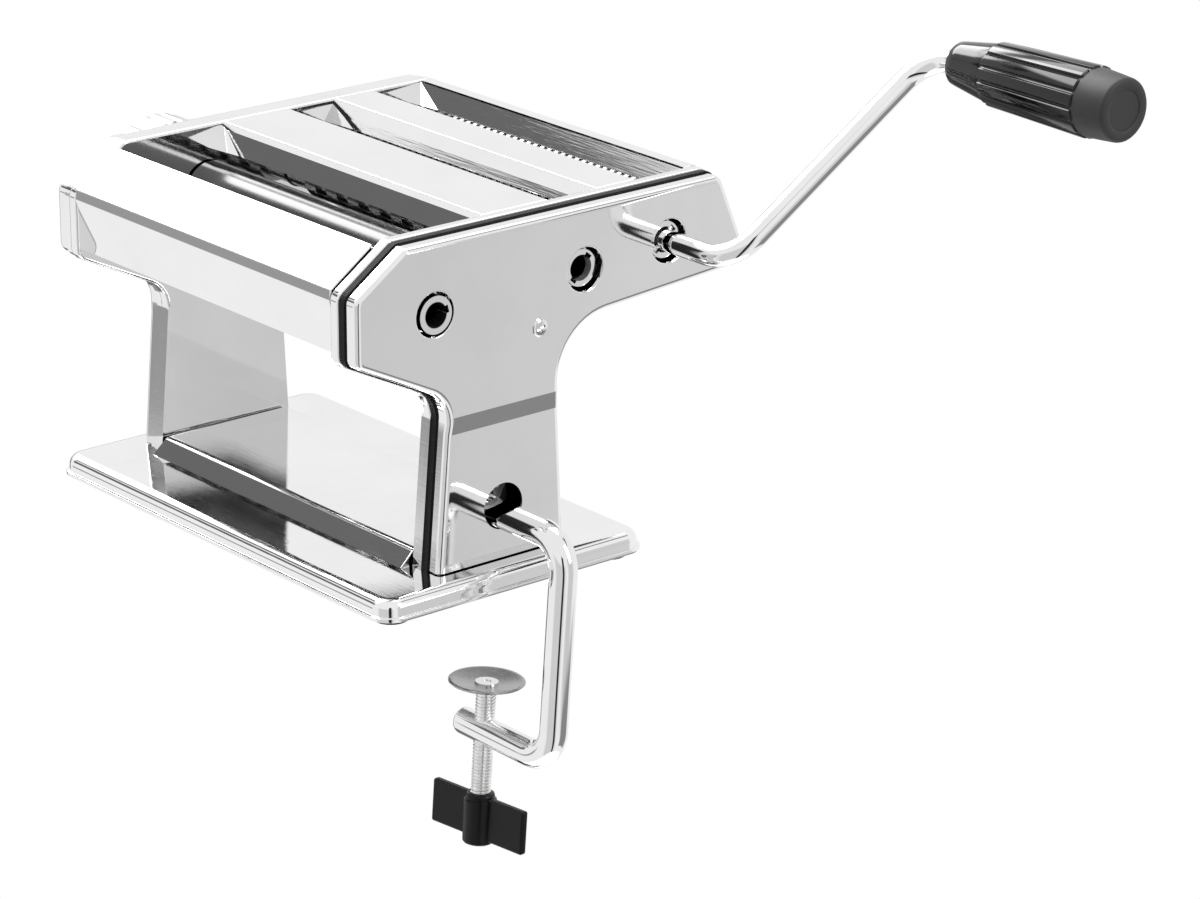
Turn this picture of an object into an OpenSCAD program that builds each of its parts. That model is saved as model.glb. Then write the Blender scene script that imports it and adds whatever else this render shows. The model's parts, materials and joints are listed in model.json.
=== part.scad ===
// Hand-cranked pasta machine with a table clamp. Millimetres, +Z up, +X towards
// the crank side, +Y to the rear, origin on the underside at the middle of the base.

/* [Frame] */
// Gap between the rollers' ends and each side plate
roller_play = 1; // [0.5:0.1:2]
// Thickness of each side plate
plate_t = 4.8; // [4.4:0.1:6]
// Thickness of the black seal between side plate and cover
gasket_t = 2.8; // [2:0.1:4]
// Width of the seal's rim
gasket_rim = 2.2; // [1.6:0.1:2.4]
// Depth of each outer cover
cover_d = 6.4; // [6:0.1:9]
// Wall of each outer cover
cover_wall = 1.0; // [0.8:0.1:1.4]
// Rounding of the cover's outer edge
cover_edge_r = 2.4; // [1:0.1:3]
// Step from the side plate's outline in to the cover
cover_step = 1.0; // [0.6:0.1:1.6]
// Height of the machine's flat top
top_z = 129; // [128:0.5:134]
// Front end of the flat top
brow_y = -40.5; // [-44:0.5:-38]
// Front face of the head
knee_y = -62.5; // [-66:0.5:-60]
// Height of the fold between chamfer and front face
knee_z = 113.8; // [112:0.5:116]
// Lower front corner of the head
chin_z = 89.2; // [88:0.5:91]
// Where the head's underside meets the leg, front
throat_y = -23.3; // [-25:0.5:-22]
// Height of that meeting
throat_z = 69.9; // [64:0.5:74]
// Front edge of the leg's foot
foot_front_y = -28.6; // [-30:0.5:-27]
// Rear edge of the leg's foot
foot_rear_y = 29.6; // [28:0.1:31]
// Where the leg meets the head's underside, rear
nape_y = 26; // [22:0.5:28]
// Height of that meeting
nape_z = 86.6; // [86:0.1:88]
// Lower rear corner of the head
tail_low_y = 115.5; // [114:0.5:120]
// Height of that corner
tail_low_z = 93; // [92:0.5:95]
// Rear end of the flat top
tail_y = 100.6; // [100:0.5:104]
// Rounding of the head's four front and rear corners
head_r = 5; // [3:0.5:7]
// Rounding of the top's two corners
top_r = 3; // [2:0.5:5]
// Sweep from leg to head at the front
throat_r = 12; // [3:0.5:16]
// Sweep from leg to head at the rear
nape_r = 21.5; // [12:0.5:28]

/* [Base] */
// How far the base reaches beyond each cover
base_beyond = 10.4; // [8:0.2:22]
// Half width of the base along Y
base_half_y = 59.1; // [54:0.1:70]
// Height of the base's flat top
base_top = 7.5; // [6.5:0.1:9]
// Thickness of the rim round the base
rim_t = 1.5; // [1:0.1:2]
// Step from the rim in to the pan's wall
rim_step = 1.2; // [0.8:0.1:2]
// Rounding of the pan's corners seen from above
base_corner_r = 9; // [6:0.5:14]
// Rounding of the pan's upper edge
base_edge_r = 4; // [2:0.2:4.6]
// Sheet of the pan
pan_t = 1.0; // [0.8:0.1:1.2]
// Height of the raised platform above the pan
platform_h = 6; // [4:0.5:8]
// Half width of the platform at its foot
platform_half_y = 33; // [30:0.5:38]
// Gap from the platform's ends to the side plates
platform_gap = 2; // [2:0.5:6]
// Gap from the ends of the stiffening channel to the side plates
channel_in = 8; // [6:1:16]
// Half width of that channel
channel_half_y = 42; // [38:1:46]
// Sheet of the channel
channel_t = 1.5; // [1:0.1:2]
// Radius of a rubber foot
foot_r = 6; // [4:0.5:6]
// How far a foot stands out below the rim
foot_drop = 2.5; // [1:0.1:3]
// Distance of the feet from the pan's edges
foot_in = 10.5; // [10:0.5:14]

/* [Rollers] */
// Length of the rollers
roller_l = 150; // [130:1:180]
// Radius of the smooth rollers
smooth_r = 11; // [10:0.1:11]
// Front smooth roller's axis, along Y
smooth_y = -28.4; // [-29:0.1:-28]
// Front smooth roller's axis, height
smooth_z = 102.7; // [102:0.1:104]
// Slope of the line from front to rear smooth roller, degrees
smooth_slope = 4; // [2:0.5:6]
// Gap between the smooth rollers when they stand closest
gap_min = 0.3; // [0.2:0.1:0.5]
// Travel of the rear smooth roller
gap_travel = 2.1; // [1.5:0.1:2.2]
// Outer radius of the cutters' rings
cutter_r = 9; // [8.8:0.1:9.2]
// Distance between the two cutters of a pair
cutter_pitch_d = 17; // [16.8:0.1:17.2]
// Depth to which rings of one cutter enter the other, plus root clearance
cutter_groove = 1.5; // [1.4:0.1:2]
// Wide cutter's front axis, along Y
wide_y = 37.4; // [37:0.1:38]
// Wide cutter's axis height
wide_z = 105.7; // [105:0.1:107]
// Ribbon width cut by the wide cutter
wide_cut = 6.5; // [5:0.1:8]
// Fine cutter's front axis, along Y
fine_y = 75.5; // [75:0.1:76]
// Fine cutter's axis height
fine_z = 108.6; // [108:0.1:109.5]
// Ribbon width cut by the fine cutter
fine_cut = 2; // [1.6:0.1:3]
// Side clearance between rings of a pair
ring_gap = 0.06; // [0.05:0.01:0.12]
// Journal radius of a driven roller
drive_journal_r = 6; // [5.6:0.1:6.2]
// Journal radius of the other roller ends
journal_r = 4; // [3:0.1:5]
// Radius of the holes for the bearings in the side plates
bush_r = 8; // [7.6:0.1:8.2]
// Running clearance of shafts in bores
run_gap = 0.05; // [0.03:0.01:0.08]
// Radius of the crank socket inside a driven roller
socket_r = 4.08; // [4.06:0.01:4.1]
// How far the crank reaches in behind the side plate's inner face
socket_back = 3; // [1:0.5:6]

/* [Gears] */
// Teeth of every gear
gear_teeth = 12; // [12:1:12]
// Width of the gears
gear_w = 4; // [3:0.1:4.2]
// How far the smooth rollers' gear teeth reach past half their distance
mesh_smooth = 1.7; // [1.5:0.1:1.8]
// The same for the cutters' gear teeth
mesh_cutter = 1; // [0.8:0.1:1.1]
// How far round the smooth rollers' hub stands at rest, degrees
hub_smooth_turn = 15; // [0:5:60]
// The same for the wide cutter's hub
hub_wide_turn = 50; // [0:5:90]
// Gap from side plate to gear
gear_off = 0.6; // [0.3:0.1:1]
// Radius of the drive hub at the smooth rollers
hub_smooth_r = 6.8; // [6.7:0.1:7.8]
// Radius of the drive hubs at the cutters
hub_cutter_r = 6.7; // [6.5:0.1:7]
// Radius of the smooth rollers' hub bore
hub_smooth_bore_r = 4.45; // [4.3:0.05:4.6]
// Radius of the cutters' hub bores
hub_cutter_bore_r = 4.7; // [4.5:0.05:4.9]
// Width of the key notches in the hubs
notch_w = 2.8; // [2.6:0.1:3.2]
// Depth of the key notches beyond the bore
notch_d = 1.1; // [1:0.1:1.2]
// How far the smooth rollers' hub stands out of the cover
hub_proud = 0.3; // [0:0.1:0.6]
// How far the cutters' hubs lie back from the cover's face
hub_back = 2.6; // [2:0.1:2.8]
// Radius of the round windows in the covers
window_r = 8; // [7.8:0.1:8.4]

/* [Regulator] */
// Knob's axis along Y
knob_y = -6.4; // [-7:0.1:-6]
// Knob's axis height
knob_z = 104; // [103.5:0.1:104.5]
// Radius of the knob
knob_r = 22.5; // [20:0.5:24]
// Depth of the knob
knob_d = 14; // [13:0.5:18]
// Radius of the dial plate
dial_r = 20.5; // [18:0.5:23]
// Thickness of the dial plate
dial_t = 2; // [1.5:0.1:3]
// Radius of the spindle
spindle_r = 4; // [3.6:0.1:4.4]
// Square of the spindle inside the knob
spindle_sq = 5.4; // [4.6:0.1:5.6]
// Pull of the knob before it turns
knob_pull = 3; // [2:0.1:3]
// Base radius of the spindle's cam
cam_r = 6; // [5.6:0.1:6.4]
// Thickness of the cam
cam_t = 3; // [2:0.1:3.4]
// Turn of the knob from widest to closest, degrees
knob_turn = 270; // [240:10:270]
// Radius of the cam's follower pin
follower_r = 1.5; // [1.2:0.1:1.8]

/* [Guides] */
// Sheet of covers and guide plates
sheet_t = 0.8; // [0.6:0.1:1]
// Front end of the front guide plate's flat
fin_front_y = 2.7; // [2:0.1:4]
// Rear end of the front guide plate's flat
fin_front_rear_y = 32; // [31:0.1:33]
// Front end of the middle guide plate's flat
fin_mid_y = 53.5; // [52:0.1:54]
// Rear end of the middle guide plate's flat
fin_mid_rear_y = 71.5; // [70:0.1:72]
// Drop of a guide plate's front face
fin_drop = 9; // [7:0.1:9.4]
// How far that face leans forward
fin_lean = 4.7; // [3:0.1:5]
// Drop of a guide plate's rear edge
fin_lip = 3; // [2:0.1:5]
// Reach of the corner deflectors along X
deflector_x = 16; // [10:0.5:20]
// Front edge of the rear guide plate
rear_guide_y = 94; // [93:0.1:95]
// Folded lip of the front cover, along Y
lip_y = -44.7; // [-46:0.1:-44]
// Height of that lip
lip_z = 127.4; // [127:0.1:128]
// Height of the band below the front cover's fold
band_h = 2.5; // [1.5:0.1:4]
// Lower edge of the front cover, along Y
skirt_y = -57.7; // [-59:0.1:-56]
// Height of that lower edge
skirt_z = 90.6; // [90:0.1:92]

/* [Crank] */
// Radius of the crank rod
crank_r = 4; // [3.9:0.01:4]
// Distance from the socket axis to the grip's axis
crank_throw = 98.6; // [70:0.2:120]
// Distance from the cover to the crank's first bend
crank_bend_out = 33; // [28:0.5:42]
// How far the crank's slanting part leads out along X
crank_slant = 20; // [13:0.5:27]
// Centre-line radius of the crank's bends
crank_bend_r = 16; // [12:0.5:18]
// Crank arm's angle above the rear direction, degrees
crank_angle = 42.1; // [0:0.1:90]
// Radius of the crank's cross key
key_r = 1.2; // [1:0.1:1.3]
// Distance from the crank's second bend to the grip
grip_back = 15; // [13:0.1:19]
// Length of the grip's smooth neck
neck_l = 19.2; // [14:0.2:24]
// Length of the grip's ribbed barrel
barrel_l = 45.7; // [36:0.1:60]
// Length of the grip's end cap
cap_l = 13.6; // [12:0.1:20]
// Neck radius at the crank
neck_r = 8; // [7.5:0.1:9]
// Neck radius at the barrel
neck_big_r = 10.75; // [10:0.05:11.2]
// Barrel radius at the neck
barrel_r = 11.5; // [11.2:0.05:12]
// Barrel radius at the cap
barrel_big_r = 12.65; // [12.2:0.05:13.2]
// Cap radius at the barrel
cap_r = 12; // [11.6:0.05:12.2]
// Cap radius at the end
cap_end_r = 11.15; // [10.6:0.05:11.5]
// Radius of the recess in the cap's end
recess_r = 7.15; // [6:0.05:8]
// Number of ribs on the barrel
ribs = 14; // [12:1:24]
// Depth of the grooves between ribs
rib_d = 1.0; // [0.6:0.1:1.4]

/* [Clamp] */
// Radius of the clamp rod
clamp_r = 5; // [4.6:0.1:5]
// Clamp rod's axis along Y
clamp_y = 1; // [0:0.1:2]
// Clamp rod's axis height
clamp_z = 23.6; // [23.4:0.1:24]
// Height of the round hole in the cover
clamp_hole_z = 26.9; // [26.6:0.1:27.4]
// Radius of that hole
clamp_hole_r = 8.45; // [8.2:0.05:9]
// Distance from the cover to the clamp's upright
clamp_out = 33.5; // [30:0.5:44]
// Distance between the clamp's two arms
clamp_h = 81; // [78:0.5:90]
// Centre-line radius of the clamp's bends
clamp_bend_r = 12; // [9:0.5:14]
// Length of the clamp's lower arm
clamp_foot_l = 50.3; // [46:0.1:52]
// How far the clamp reaches in behind the side plate
clamp_in = 22; // [20:0.5:26]
// Swing of the clamp at rest, degrees
clamp_swing = 4.2; // [0:0.1:8]
// Length of the clamp's guide behind the side plate
guide_l = 16; // [12:0.5:18]
// Outer radius of that guide
guide_r = 9.4; // [8.6:0.1:9.8]
// Outer radius of the liner in the guide
liner_r = 7; // [6.6:0.1:7.4]
// Distance from the upright to the clamp screw
screw_in = 37.8; // [34:0.1:38]
// Outer radius of the screw thread
screw_r = 3.7; // [3.4:0.1:3.9]
// Pitch of the screw thread
screw_pitch = 1.25; // [1:0.05:1.5]
// Depth of the screw thread
thread_d = 0.5; // [0.4:0.05:0.6]
// Distance of the pad's rim below the upper arm
pad_down = 62; // [61:0.5:63]
// Radius of the pad
pad_r = 13.75; // [11:0.25:15]
// Height of the pad's dish
pad_h = 2.6; // [2:0.1:3]
// Thickness of the pad
pad_t = 1.2; // [1:0.1:1.6]
// Distance of the hub's top below the upper arm
wing_down = 104.4; // [102.5:0.1:108]
// Height of the wing's hub
wing_hub_h = 19; // [14:0.5:24]
// Radius of the wing's hub
wing_hub_r = 6; // [5:0.25:7]
// Span of the wing
wing_span = 44; // [34:0.5:52]
// Height of the wing
wing_h = 16.3; // [10:0.1:18]
// Thickness of the wing
wing_t = 3; // [2:0.1:4]
// Turn of the wing about the screw, degrees
wing_turn = 8; // [0:1:20]

/* [Fasteners] */
// Cover screw's place along Y
cover_screw_y = 17; // [16:0.5:18]
// Cover screw's height
cover_screw_z = 88.8; // [88:0.1:90]
// Radius of the cover screw's head
cover_head_r = 3.3; // [3:0.1:3.6]
// Height of that head above the cover
cover_head_h = 0.9; // [0.6:0.1:1.2]
// Radius of the cover screw's shank
shank_r = 1.8; // [1.5:0.1:2]
// Outer radius of the post under the cover
post_r = 3.6; // [3.2:0.1:4]
// Radius of the tie rods between the side plates
tie_r = 3; // [2.4:0.1:3.4]
// Radius of the tie rods' ends
tie_end_r = 2; // [1.5:0.1:2.2]
// Radius across the corners of the tie rods' nuts
nut_r = 3.6; // [3:0.1:3.7]
// Thickness of those nuts
nut_t = 3; // [2:0.1:4]
// Radius of the leg screws under the pan
leg_screw_r = 1.4; // [1:0.1:1.6]

/* [Hidden] */
$fn = 96;

// Overrun of cuts
cut = 1;
// Clearance between pieces that only stand beside each other
air = 0.1;
// Steps of a quarter turn in an outline's rounding
quarter_steps = 6;

// Places along X
inner_w = roller_l + 2 * roller_play;
plate_in = inner_w / 2;
plate_out = plate_in + plate_t;
cover_in = plate_out + gasket_t;
cover_x = cover_in + cover_d;
cover_roof = cover_x - 1.2 * cover_wall;
base_half_x = cover_x + base_beyond;
channel_half_x = plate_in - channel_in;
crank_bend_x = cover_x + crank_bend_out;
crank_out_x = crank_bend_x + crank_slant;
grip_x = crank_out_x + grip_back;
clamp_x = cover_x + clamp_out;
clamp_tip_x = clamp_x - clamp_foot_l;
clamp_in_x = plate_in - clamp_in;
screw_x = clamp_x - screw_in;
gear_x = plate_out + gear_off;
hub_x = gear_x + gear_w;

// Roller places in the side view
smooth_dir = [cos(smooth_slope), sin(smooth_slope)];
smooth_at = [smooth_y, smooth_z];
smooth_d = 2 * smooth_r + gap_min + gap_travel;
smooth_rear_at = smooth_at + smooth_d * smooth_dir;
wide_at = [wide_y, wide_z];
wide_rear_at = wide_at + [cutter_pitch_d, 0];
fine_at = [fine_y, fine_z];
fine_rear_at = fine_at + [cutter_pitch_d, 0];
knob_at = [knob_y, knob_z];
clamp_at = [clamp_y, clamp_z];
clamp_hole_at = [clamp_y, clamp_hole_z];
screw_at = [cover_screw_y, cover_screw_z];
tie_places = [
    [knee_y + 2.5 * head_r, chin_z + 1.6 * head_r],
    [cover_screw_y - 2.5 * post_r, cover_screw_z - 2.6 * post_r],
    [tail_low_y - 2 * head_r, tail_low_z + 1.5 * head_r]
];

// Slide block of the rear smooth roller
block_half = 0.9375 * bush_r;
block_half_h = bush_r;

// Side plate's outline: place along Y, height and rounding of each corner
frame_corners = [
    [foot_front_y, base_top, 0],
    [foot_rear_y, base_top, 0],
    [nape_y, nape_z, nape_r],
    [tail_low_y, tail_low_z, head_r],
    [tail_y, top_z, head_r],
    [brow_y, top_z, top_r],
    [knee_y, knee_z, head_r],
    [knee_y, chin_z, head_r],
    [throat_y, throat_z, throat_r]
];

// Outlines with rounded corners
function flat(p) = [p[0], p[1]];
function dir(v) = v / norm(v);
function left_of(v) = [-v[1], v[0]];
function cross2(a, b) = a[0] * b[1] - a[1] * b[0];
function pick(list, i) = list[(i + len(list)) % len(list)];
function moved_corner(list, i, d) =
    let (
        q = flat(pick(list, i)),
        a = dir(q - flat(pick(list, i - 1))),
        b = dir(flat(pick(list, i + 1)) - q),
        na = left_of(a),
        nb = left_of(b)
    )
    q + d * (na + nb) / (1 + na * nb);
// All corners moved in by d, each with its rounding changed to suit
function moved_list(list, d) = [
    for (i = [0 : len(list) - 1])
        let (
            a = dir(flat(list[i]) - flat(pick(list, i - 1))),
            b = dir(flat(pick(list, i + 1)) - flat(list[i])),
            s = sign(cross2(a, b)),
            p = moved_corner(list, i, d)
        )
        [p[0], p[1], list[i][2] == 0 ? 0 : max(0.2 * list[i][2], list[i][2] - s * d), list[i][2]]
];
function rounded(list) = [
    for (i = [0 : len(list) - 1])
        let (
            q = flat(list[i]),
            a = dir(q - flat(pick(list, i - 1))),
            b = dir(flat(pick(list, i + 1)) - q),
            s = sign(cross2(a, b)),
            turn = acos(max(-1, min(1, a * b))),
            r = list[i][2],
            t = r * tan(turn / 2),
            start = q - t * a,
            centre = start + s * r * left_of(a),
            steps = max(2, round(turn / 90 * quarter_steps)),
            from = atan2(start[1] - centre[1], start[0] - centre[0])
        )
        each (r == 0 ? [q] : [
            for (k = [0 : steps])
                centre + r * [cos(from + s * turn * k / steps), sin(from + s * turn * k / steps)]
        ])
];
// Keeps an outline's foot on the base
function on_base(points) = [for (p = points) [p[0], max(p[1], base_top)]];
function frame_outline(d) = rounded(moved_list([
    for (i = [0 : len(frame_corners) - 1])
        i < 2 ? frame_corners[i] - [0, d, 0] : frame_corners[i]
], d));

// Sheet bent along a path in the side view, thickened to its left
function path_side(path, t) = [
    for (i = [0 : len(path) - 1])
        let (
            a = dir(i > 0 ? path[i] - path[i - 1] : path[1] - path[0]),
            b = dir(i < len(path) - 1 ? path[i + 1] - path[i] : path[i] - path[i - 1]),
            na = left_of(a),
            nb = left_of(b)
        )
        path[i] + t * (na + nb) / (1 + na * nb)
];
function backwards(list) = [for (i = [len(list) - 1 : -1 : 0]) list[i]];
function sheet_outline(path, t) = concat(path, backwards(path_side(path, t)));

// Extrudes a side view outline from x0 to x1
module across(x0, x1) {
    translate([x0, 0, 0]) rotate([90, 0, 90]) linear_extrude(x1 - x0) children();
}
// Cylinder along X at a place in the side view
module axle(at, r, x0, x1) {
    translate([x0, at[0], at[1]]) rotate([0, 90, 0]) cylinder(r = r, h = x1 - x0);
}
// Solid of revolution round X: outline in place along X and radius
module turned(at, outline) {
    translate([0, at[0], at[1]]) rotate([90, 0, 90]) rotate_extrude()
        polygon([for (p = outline) [p[1], p[0]]]);
}
// Triangles that fill an outline, cut off one convex corner at a time
function in_corner(p, a, b, c) =
    p != a && p != b && p != c &&
    cross2(b - a, p - a) >= 0 && cross2(c - b, p - b) >= 0 && cross2(a - c, p - c) >= 0;
function cap_faces(points, left) =
    len(left) == 3 ? [left] :
    let (
        n = len(left),
        free = [
            for (i = [0 : n - 1])
                let (
                    a = points[left[(i + n - 1) % n]],
                    b = points[left[i]],
                    c = points[left[(i + 1) % n]]
                )
                if (cross2(b - a, c - b) > 0 &&
                    len([for (j = left) if (in_corner(points[j], a, b, c)) j]) == 0) i
        ],
        i = free[0]
    )
    concat(
        [[left[(i + n - 1) % n], left[i], left[(i + 1) % n]]],
        cap_faces(points, [for (j = [0 : n - 1]) if (j != i) left[j]])
    );
// Solid through rings of equal point count, each at its own height
module skin(rings, heights) {
    n = len(rings[0]);
    m = len(rings);
    points = [for (k = [0 : m - 1]) each [for (p = rings[k]) [p[0], p[1], heights[k]]]];
    walls = [
        for (k = [0 : m - 2]) for (i = [0 : n - 1])
            each [
                [k * n + i, (k + 1) * n + i, (k + 1) * n + (i + 1) % n],
                [k * n + i, (k + 1) * n + (i + 1) % n, k * n + (i + 1) % n]
            ]
    ];
    foot = cap_faces(rings[0], [for (i = [0 : n - 1]) i]);
    roof = cap_faces(rings[m - 1], [for (i = [0 : n - 1]) i]);
    top = (m - 1) * n;
    polyhedron(points, concat(
        walls,
        foot,
        [for (f = roof) [top + f[2], top + f[1], top + f[0]]]
    ));
}
// Rod along a flat path with rounded bends. The straight lengths reach a little way
// into each bend, whose tube is a touch thicker there.
module rod_path(path, bend, r) {
    last = len(path) - 1;
    weld = bend / 20;
    bend_tube_r = r * 1.01;
    turns = [
        for (i = [0 : last])
            i == 0 || i == last ? 0 :
            let (a = dir(path[i] - path[i - 1]), b = dir(path[i + 1] - path[i]))
            sign(cross2(a, b)) * acos(a * b)
    ];
    for (i = [0 : last - 1]) {
        a = dir(path[i + 1] - path[i]);
        p = path[i] + a * max(0, bend * tan(abs(turns[i]) / 2) - weld);
        q = path[i + 1] - a * max(0, bend * tan(abs(turns[i + 1]) / 2) - weld);
        translate([p[0], p[1], 0]) rotate([0, 0, atan2(a[1], a[0])]) rotate([0, 90, 0])
            cylinder(r = r, h = norm(q - p));
    }
    for (i = [1 : last - 1]) {
        a = dir(path[i] - path[i - 1]);
        s = sign(turns[i]);
        start = path[i] - a * bend * tan(abs(turns[i]) / 2);
        centre = start + s * bend * left_of(a);
        from = atan2(start[1] - centre[1], start[0] - centre[0]) + min(0, turns[i]);
        translate([centre[0], centre[1], 0]) rotate([0, 0, from])
            rotate_extrude(angle = abs(turns[i])) translate([bend, 0]) circle(r = bend_tube_r);
    }
}

// Base
base_corners = function (d) [
    [base_half_x - d, -base_half_y + d, base_corner_r - d],
    [base_half_x - d, base_half_y - d, base_corner_r - d],
    [-base_half_x + d, base_half_y - d, base_corner_r - d],
    [-base_half_x + d, -base_half_y + d, base_corner_r - d]
];
pan_edge = [for (k = [0 : 5]) let (a = 90 * k / 5)
    [rim_step + base_edge_r * (1 - cos(a)), base_top - base_edge_r * (1 - sin(a))]];
pan_rings = concat([[0, 0], [0, rim_t], [rim_step, rim_t]], pan_edge);
platform_top_half = platform_half_y - platform_h;
platform_end = plate_in - platform_gap;
module platform(d, lower) {
    across(-platform_end + d, platform_end - d) polygon([
        [-platform_half_y + 1.4 * d, base_top - lower],
        [platform_half_y - 1.4 * d, base_top - lower],
        [platform_top_half - 0.4 * d, base_top + platform_h - d],
        [-platform_top_half + 0.4 * d, base_top + platform_h - d]
    ]);
}
module base_pan() {
    color("silver") difference() {
        union() {
            skin([for (r = pan_rings) rounded(base_corners(r[0]))], [for (r = pan_rings) r[1]]);
            platform(0, pan_t);
        }
        translate([0, 0, -cut]) linear_extrude(cut + base_top - pan_t - base_edge_r / 2)
            polygon(rounded(base_corners(rim_step + pan_t)));
        translate([0, 0, -cut]) linear_extrude(cut + base_top - pan_t)
            polygon(rounded(base_corners(rim_step + pan_t + base_edge_r / 2)));
        platform(pan_t, pan_t + cut);
        for (x = [-1, 1]) for (y = [-1, 1]) leg_screw_place(x, y)
            translate([0, 0, -cut]) cylinder(r = leg_screw_r + air, h = base_top + 2 * cut);
        for (x = [-1, 1]) for (y = [-1, 1]) foot_place(x, y)
            translate([0, 0, -cut]) cylinder(r = foot_r / 2, h = base_top + cut - pan_t);
    }
}
// Places of the leg screws and of the feet
leg_screw_y = 0.65 * min(-foot_front_y, foot_rear_y);
module leg_screw_place(x, y) {
    translate([x * (plate_in + plate_t / 2), y * leg_screw_y, 0]) children();
}
module foot_place(x, y) {
    translate([x * (base_half_x - foot_in), y * (base_half_y - foot_in), 0]) children();
}
module base_channel() {
    top = base_top - pan_t;
    color("gray") across(-channel_half_x, channel_half_x) polygon([
        [-channel_half_y, 0],
        [channel_half_y, 0],
        [channel_half_y, top],
        [channel_half_y - channel_t, top],
        [channel_half_y - channel_t, channel_t],
        [-channel_half_y + channel_t, channel_t],
        [-channel_half_y + channel_t, top],
        [-channel_half_y, top]
    ]);
}
module rubber_feet() {
    top = base_top - pan_t;
    color("black") for (x = [-1, 1]) for (y = [-1, 1]) foot_place(x, y) {
        translate([0, 0, -foot_drop]) cylinder(r = foot_r, h = foot_drop + top);
    }
}
module leg_screws() {
    head_h = 1.2 * leg_screw_r;
    top = base_top - pan_t;
    color("silver") for (x = [-1, 1]) for (y = [-1, 1]) leg_screw_place(x, y) {
        translate([0, 0, top - head_h]) cylinder(r = 1.8 * leg_screw_r, h = head_h);
        translate([0, 0, top - head_h / 2]) cylinder(r = leg_screw_r, h = head_h / 2 + 7 * leg_screw_r);
    }
}

// Side plates, seals and covers
plate_bores = [smooth_at, wide_at, wide_rear_at, fine_at, fine_rear_at];
module slide_slot(d) {
    rotate([0, 0, smooth_slope])
        translate([smooth_d - gap_travel - block_half - d, -block_half_h - d])
        square([2 * block_half + gap_travel + 2 * d, 2 * (block_half_h + d)]);
}
module side_plate(side) {
    color("silver") difference() {
        across(plate_in, plate_out) polygon(on_base(frame_outline(0)));
        for (at = plate_bores) axle(at, bush_r, plate_in - cut, plate_out + cut);
        for (at = tie_places) axle(at, tie_end_r, plate_in - cut, plate_out + cut);
        axle(screw_at, shank_r, plate_in - cut, plate_out + cut);
        across(plate_in - cut, plate_out + cut) translate(smooth_at) slide_slot(air / 2);
        if (side > 0) axle(clamp_hole_at, clamp_hole_r, plate_in - cut, plate_out + cut);
        for (y = [-1, 1]) translate([plate_in + plate_t / 2, y * leg_screw_y, base_top - cut])
            cylinder(r = leg_screw_r, h = cut + 8 * leg_screw_r);
    }
}
module gasket(tint) {
    color(tint) across(plate_out, cover_in) difference() {
        polygon(on_base(frame_outline(0.4 * cover_step)));
        polygon(frame_outline(0.4 * cover_step + gasket_rim));
    }
}
cover_edge = [for (k = [0 : 5]) let (a = 90 * k / 5)
    [cover_step + cover_edge_r * (1 - cos(a)), cover_x - cover_edge_r * (1 - sin(a))]];
cover_rings = concat([[cover_step, cover_in]], cover_edge);
module cover_shell() {
    difference() {
        rotate([90, 0, 90]) skin(
            [for (r = cover_rings) on_base(frame_outline(r[0]))],
            [for (r = cover_rings) r[1]]
        );
        across(cover_in - cut, cover_roof) polygon(frame_outline(cover_step + cover_wall));
        axle(screw_at, shank_r + air, cover_in, cover_x + cut);
    }
}
module side_frame_right() { side_plate(1); }
module side_frame_left() { mirror([1, 0, 0]) side_plate(-1); }
module gasket_right() { gasket("black"); }
module gasket_left() { mirror([1, 0, 0]) gasket("silver"); }
module cover_right() {
    color("gainsboro") difference() {
        cover_shell();
        for (at = [smooth_at, wide_at, fine_at]) axle(at, window_r, cover_in, cover_x + cut);
        axle(clamp_hole_at, clamp_hole_r, cover_in, cover_x + cut);
    }
}
module cover_left() {
    color("gainsboro") mirror([1, 0, 0]) difference() {
        cover_shell();
        axle(knob_at, window_r, cover_in, cover_x + cut);
    }
}
module both_sides() {
    children();
    mirror([1, 0, 0]) children();
}
module cover_posts() {
    color("silver") both_sides() difference() {
        axle(screw_at, post_r, plate_out, cover_roof);
        axle(screw_at, shank_r, plate_out - cut, cover_roof + cut);
    }
}
module cover_screws() {
    slot_w = 0.3 * cover_head_r;
    color("silver") both_sides() difference() {
        union() {
            axle(screw_at, cover_head_r, cover_x, cover_x + cover_head_h);
            axle(screw_at, shank_r, plate_in + plate_t / 2, cover_x + cover_head_h / 2);
        }
        translate([cover_x + cover_head_h / 3, screw_at[0], screw_at[1]]) for (a = [20, 110])
            rotate([a, 0, 0]) translate([0, -0.7 * cover_head_r, -slot_w / 2])
            cube([cut, 1.4 * cover_head_r, slot_w]);
    }
}
module tie_rods() {
    color("silver") for (at = tie_places) {
        axle(at, tie_r, -plate_in, plate_in);
        axle(at, tie_end_r, -plate_out - nut_t, plate_out + nut_t);
    }
}
module tie_nuts() {
    color("silver") both_sides() for (at = tie_places)
        translate([plate_out, at[0], at[1]]) rotate([0, 90, 0]) difference() {
            cylinder(r = nut_r, h = nut_t, $fn = 6);
            translate([0, 0, -cut]) cylinder(r = tie_end_r, h = nut_t + 2 * cut);
        }
}

// Bent sheet covers and guide plates between the side plates
module front_cover() {
    lip = [lip_y, lip_z];
    knee = [knee_y + 0.4 * sheet_t, knee_z + 1.5 * sheet_t];
    down = dir(knee - lip);
    hem = lip + 0.9 * sheet_t * left_of(down);
    color("silver") across(-plate_in, plate_in) union() {
        polygon(sheet_outline(
            [lip, knee, [knee_y, knee_z - band_h], [skirt_y, skirt_z]],
            sheet_t
        ));
        polygon(sheet_outline([hem, hem + 3.5 * sheet_t * down], sheet_t));
    }
}
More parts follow.
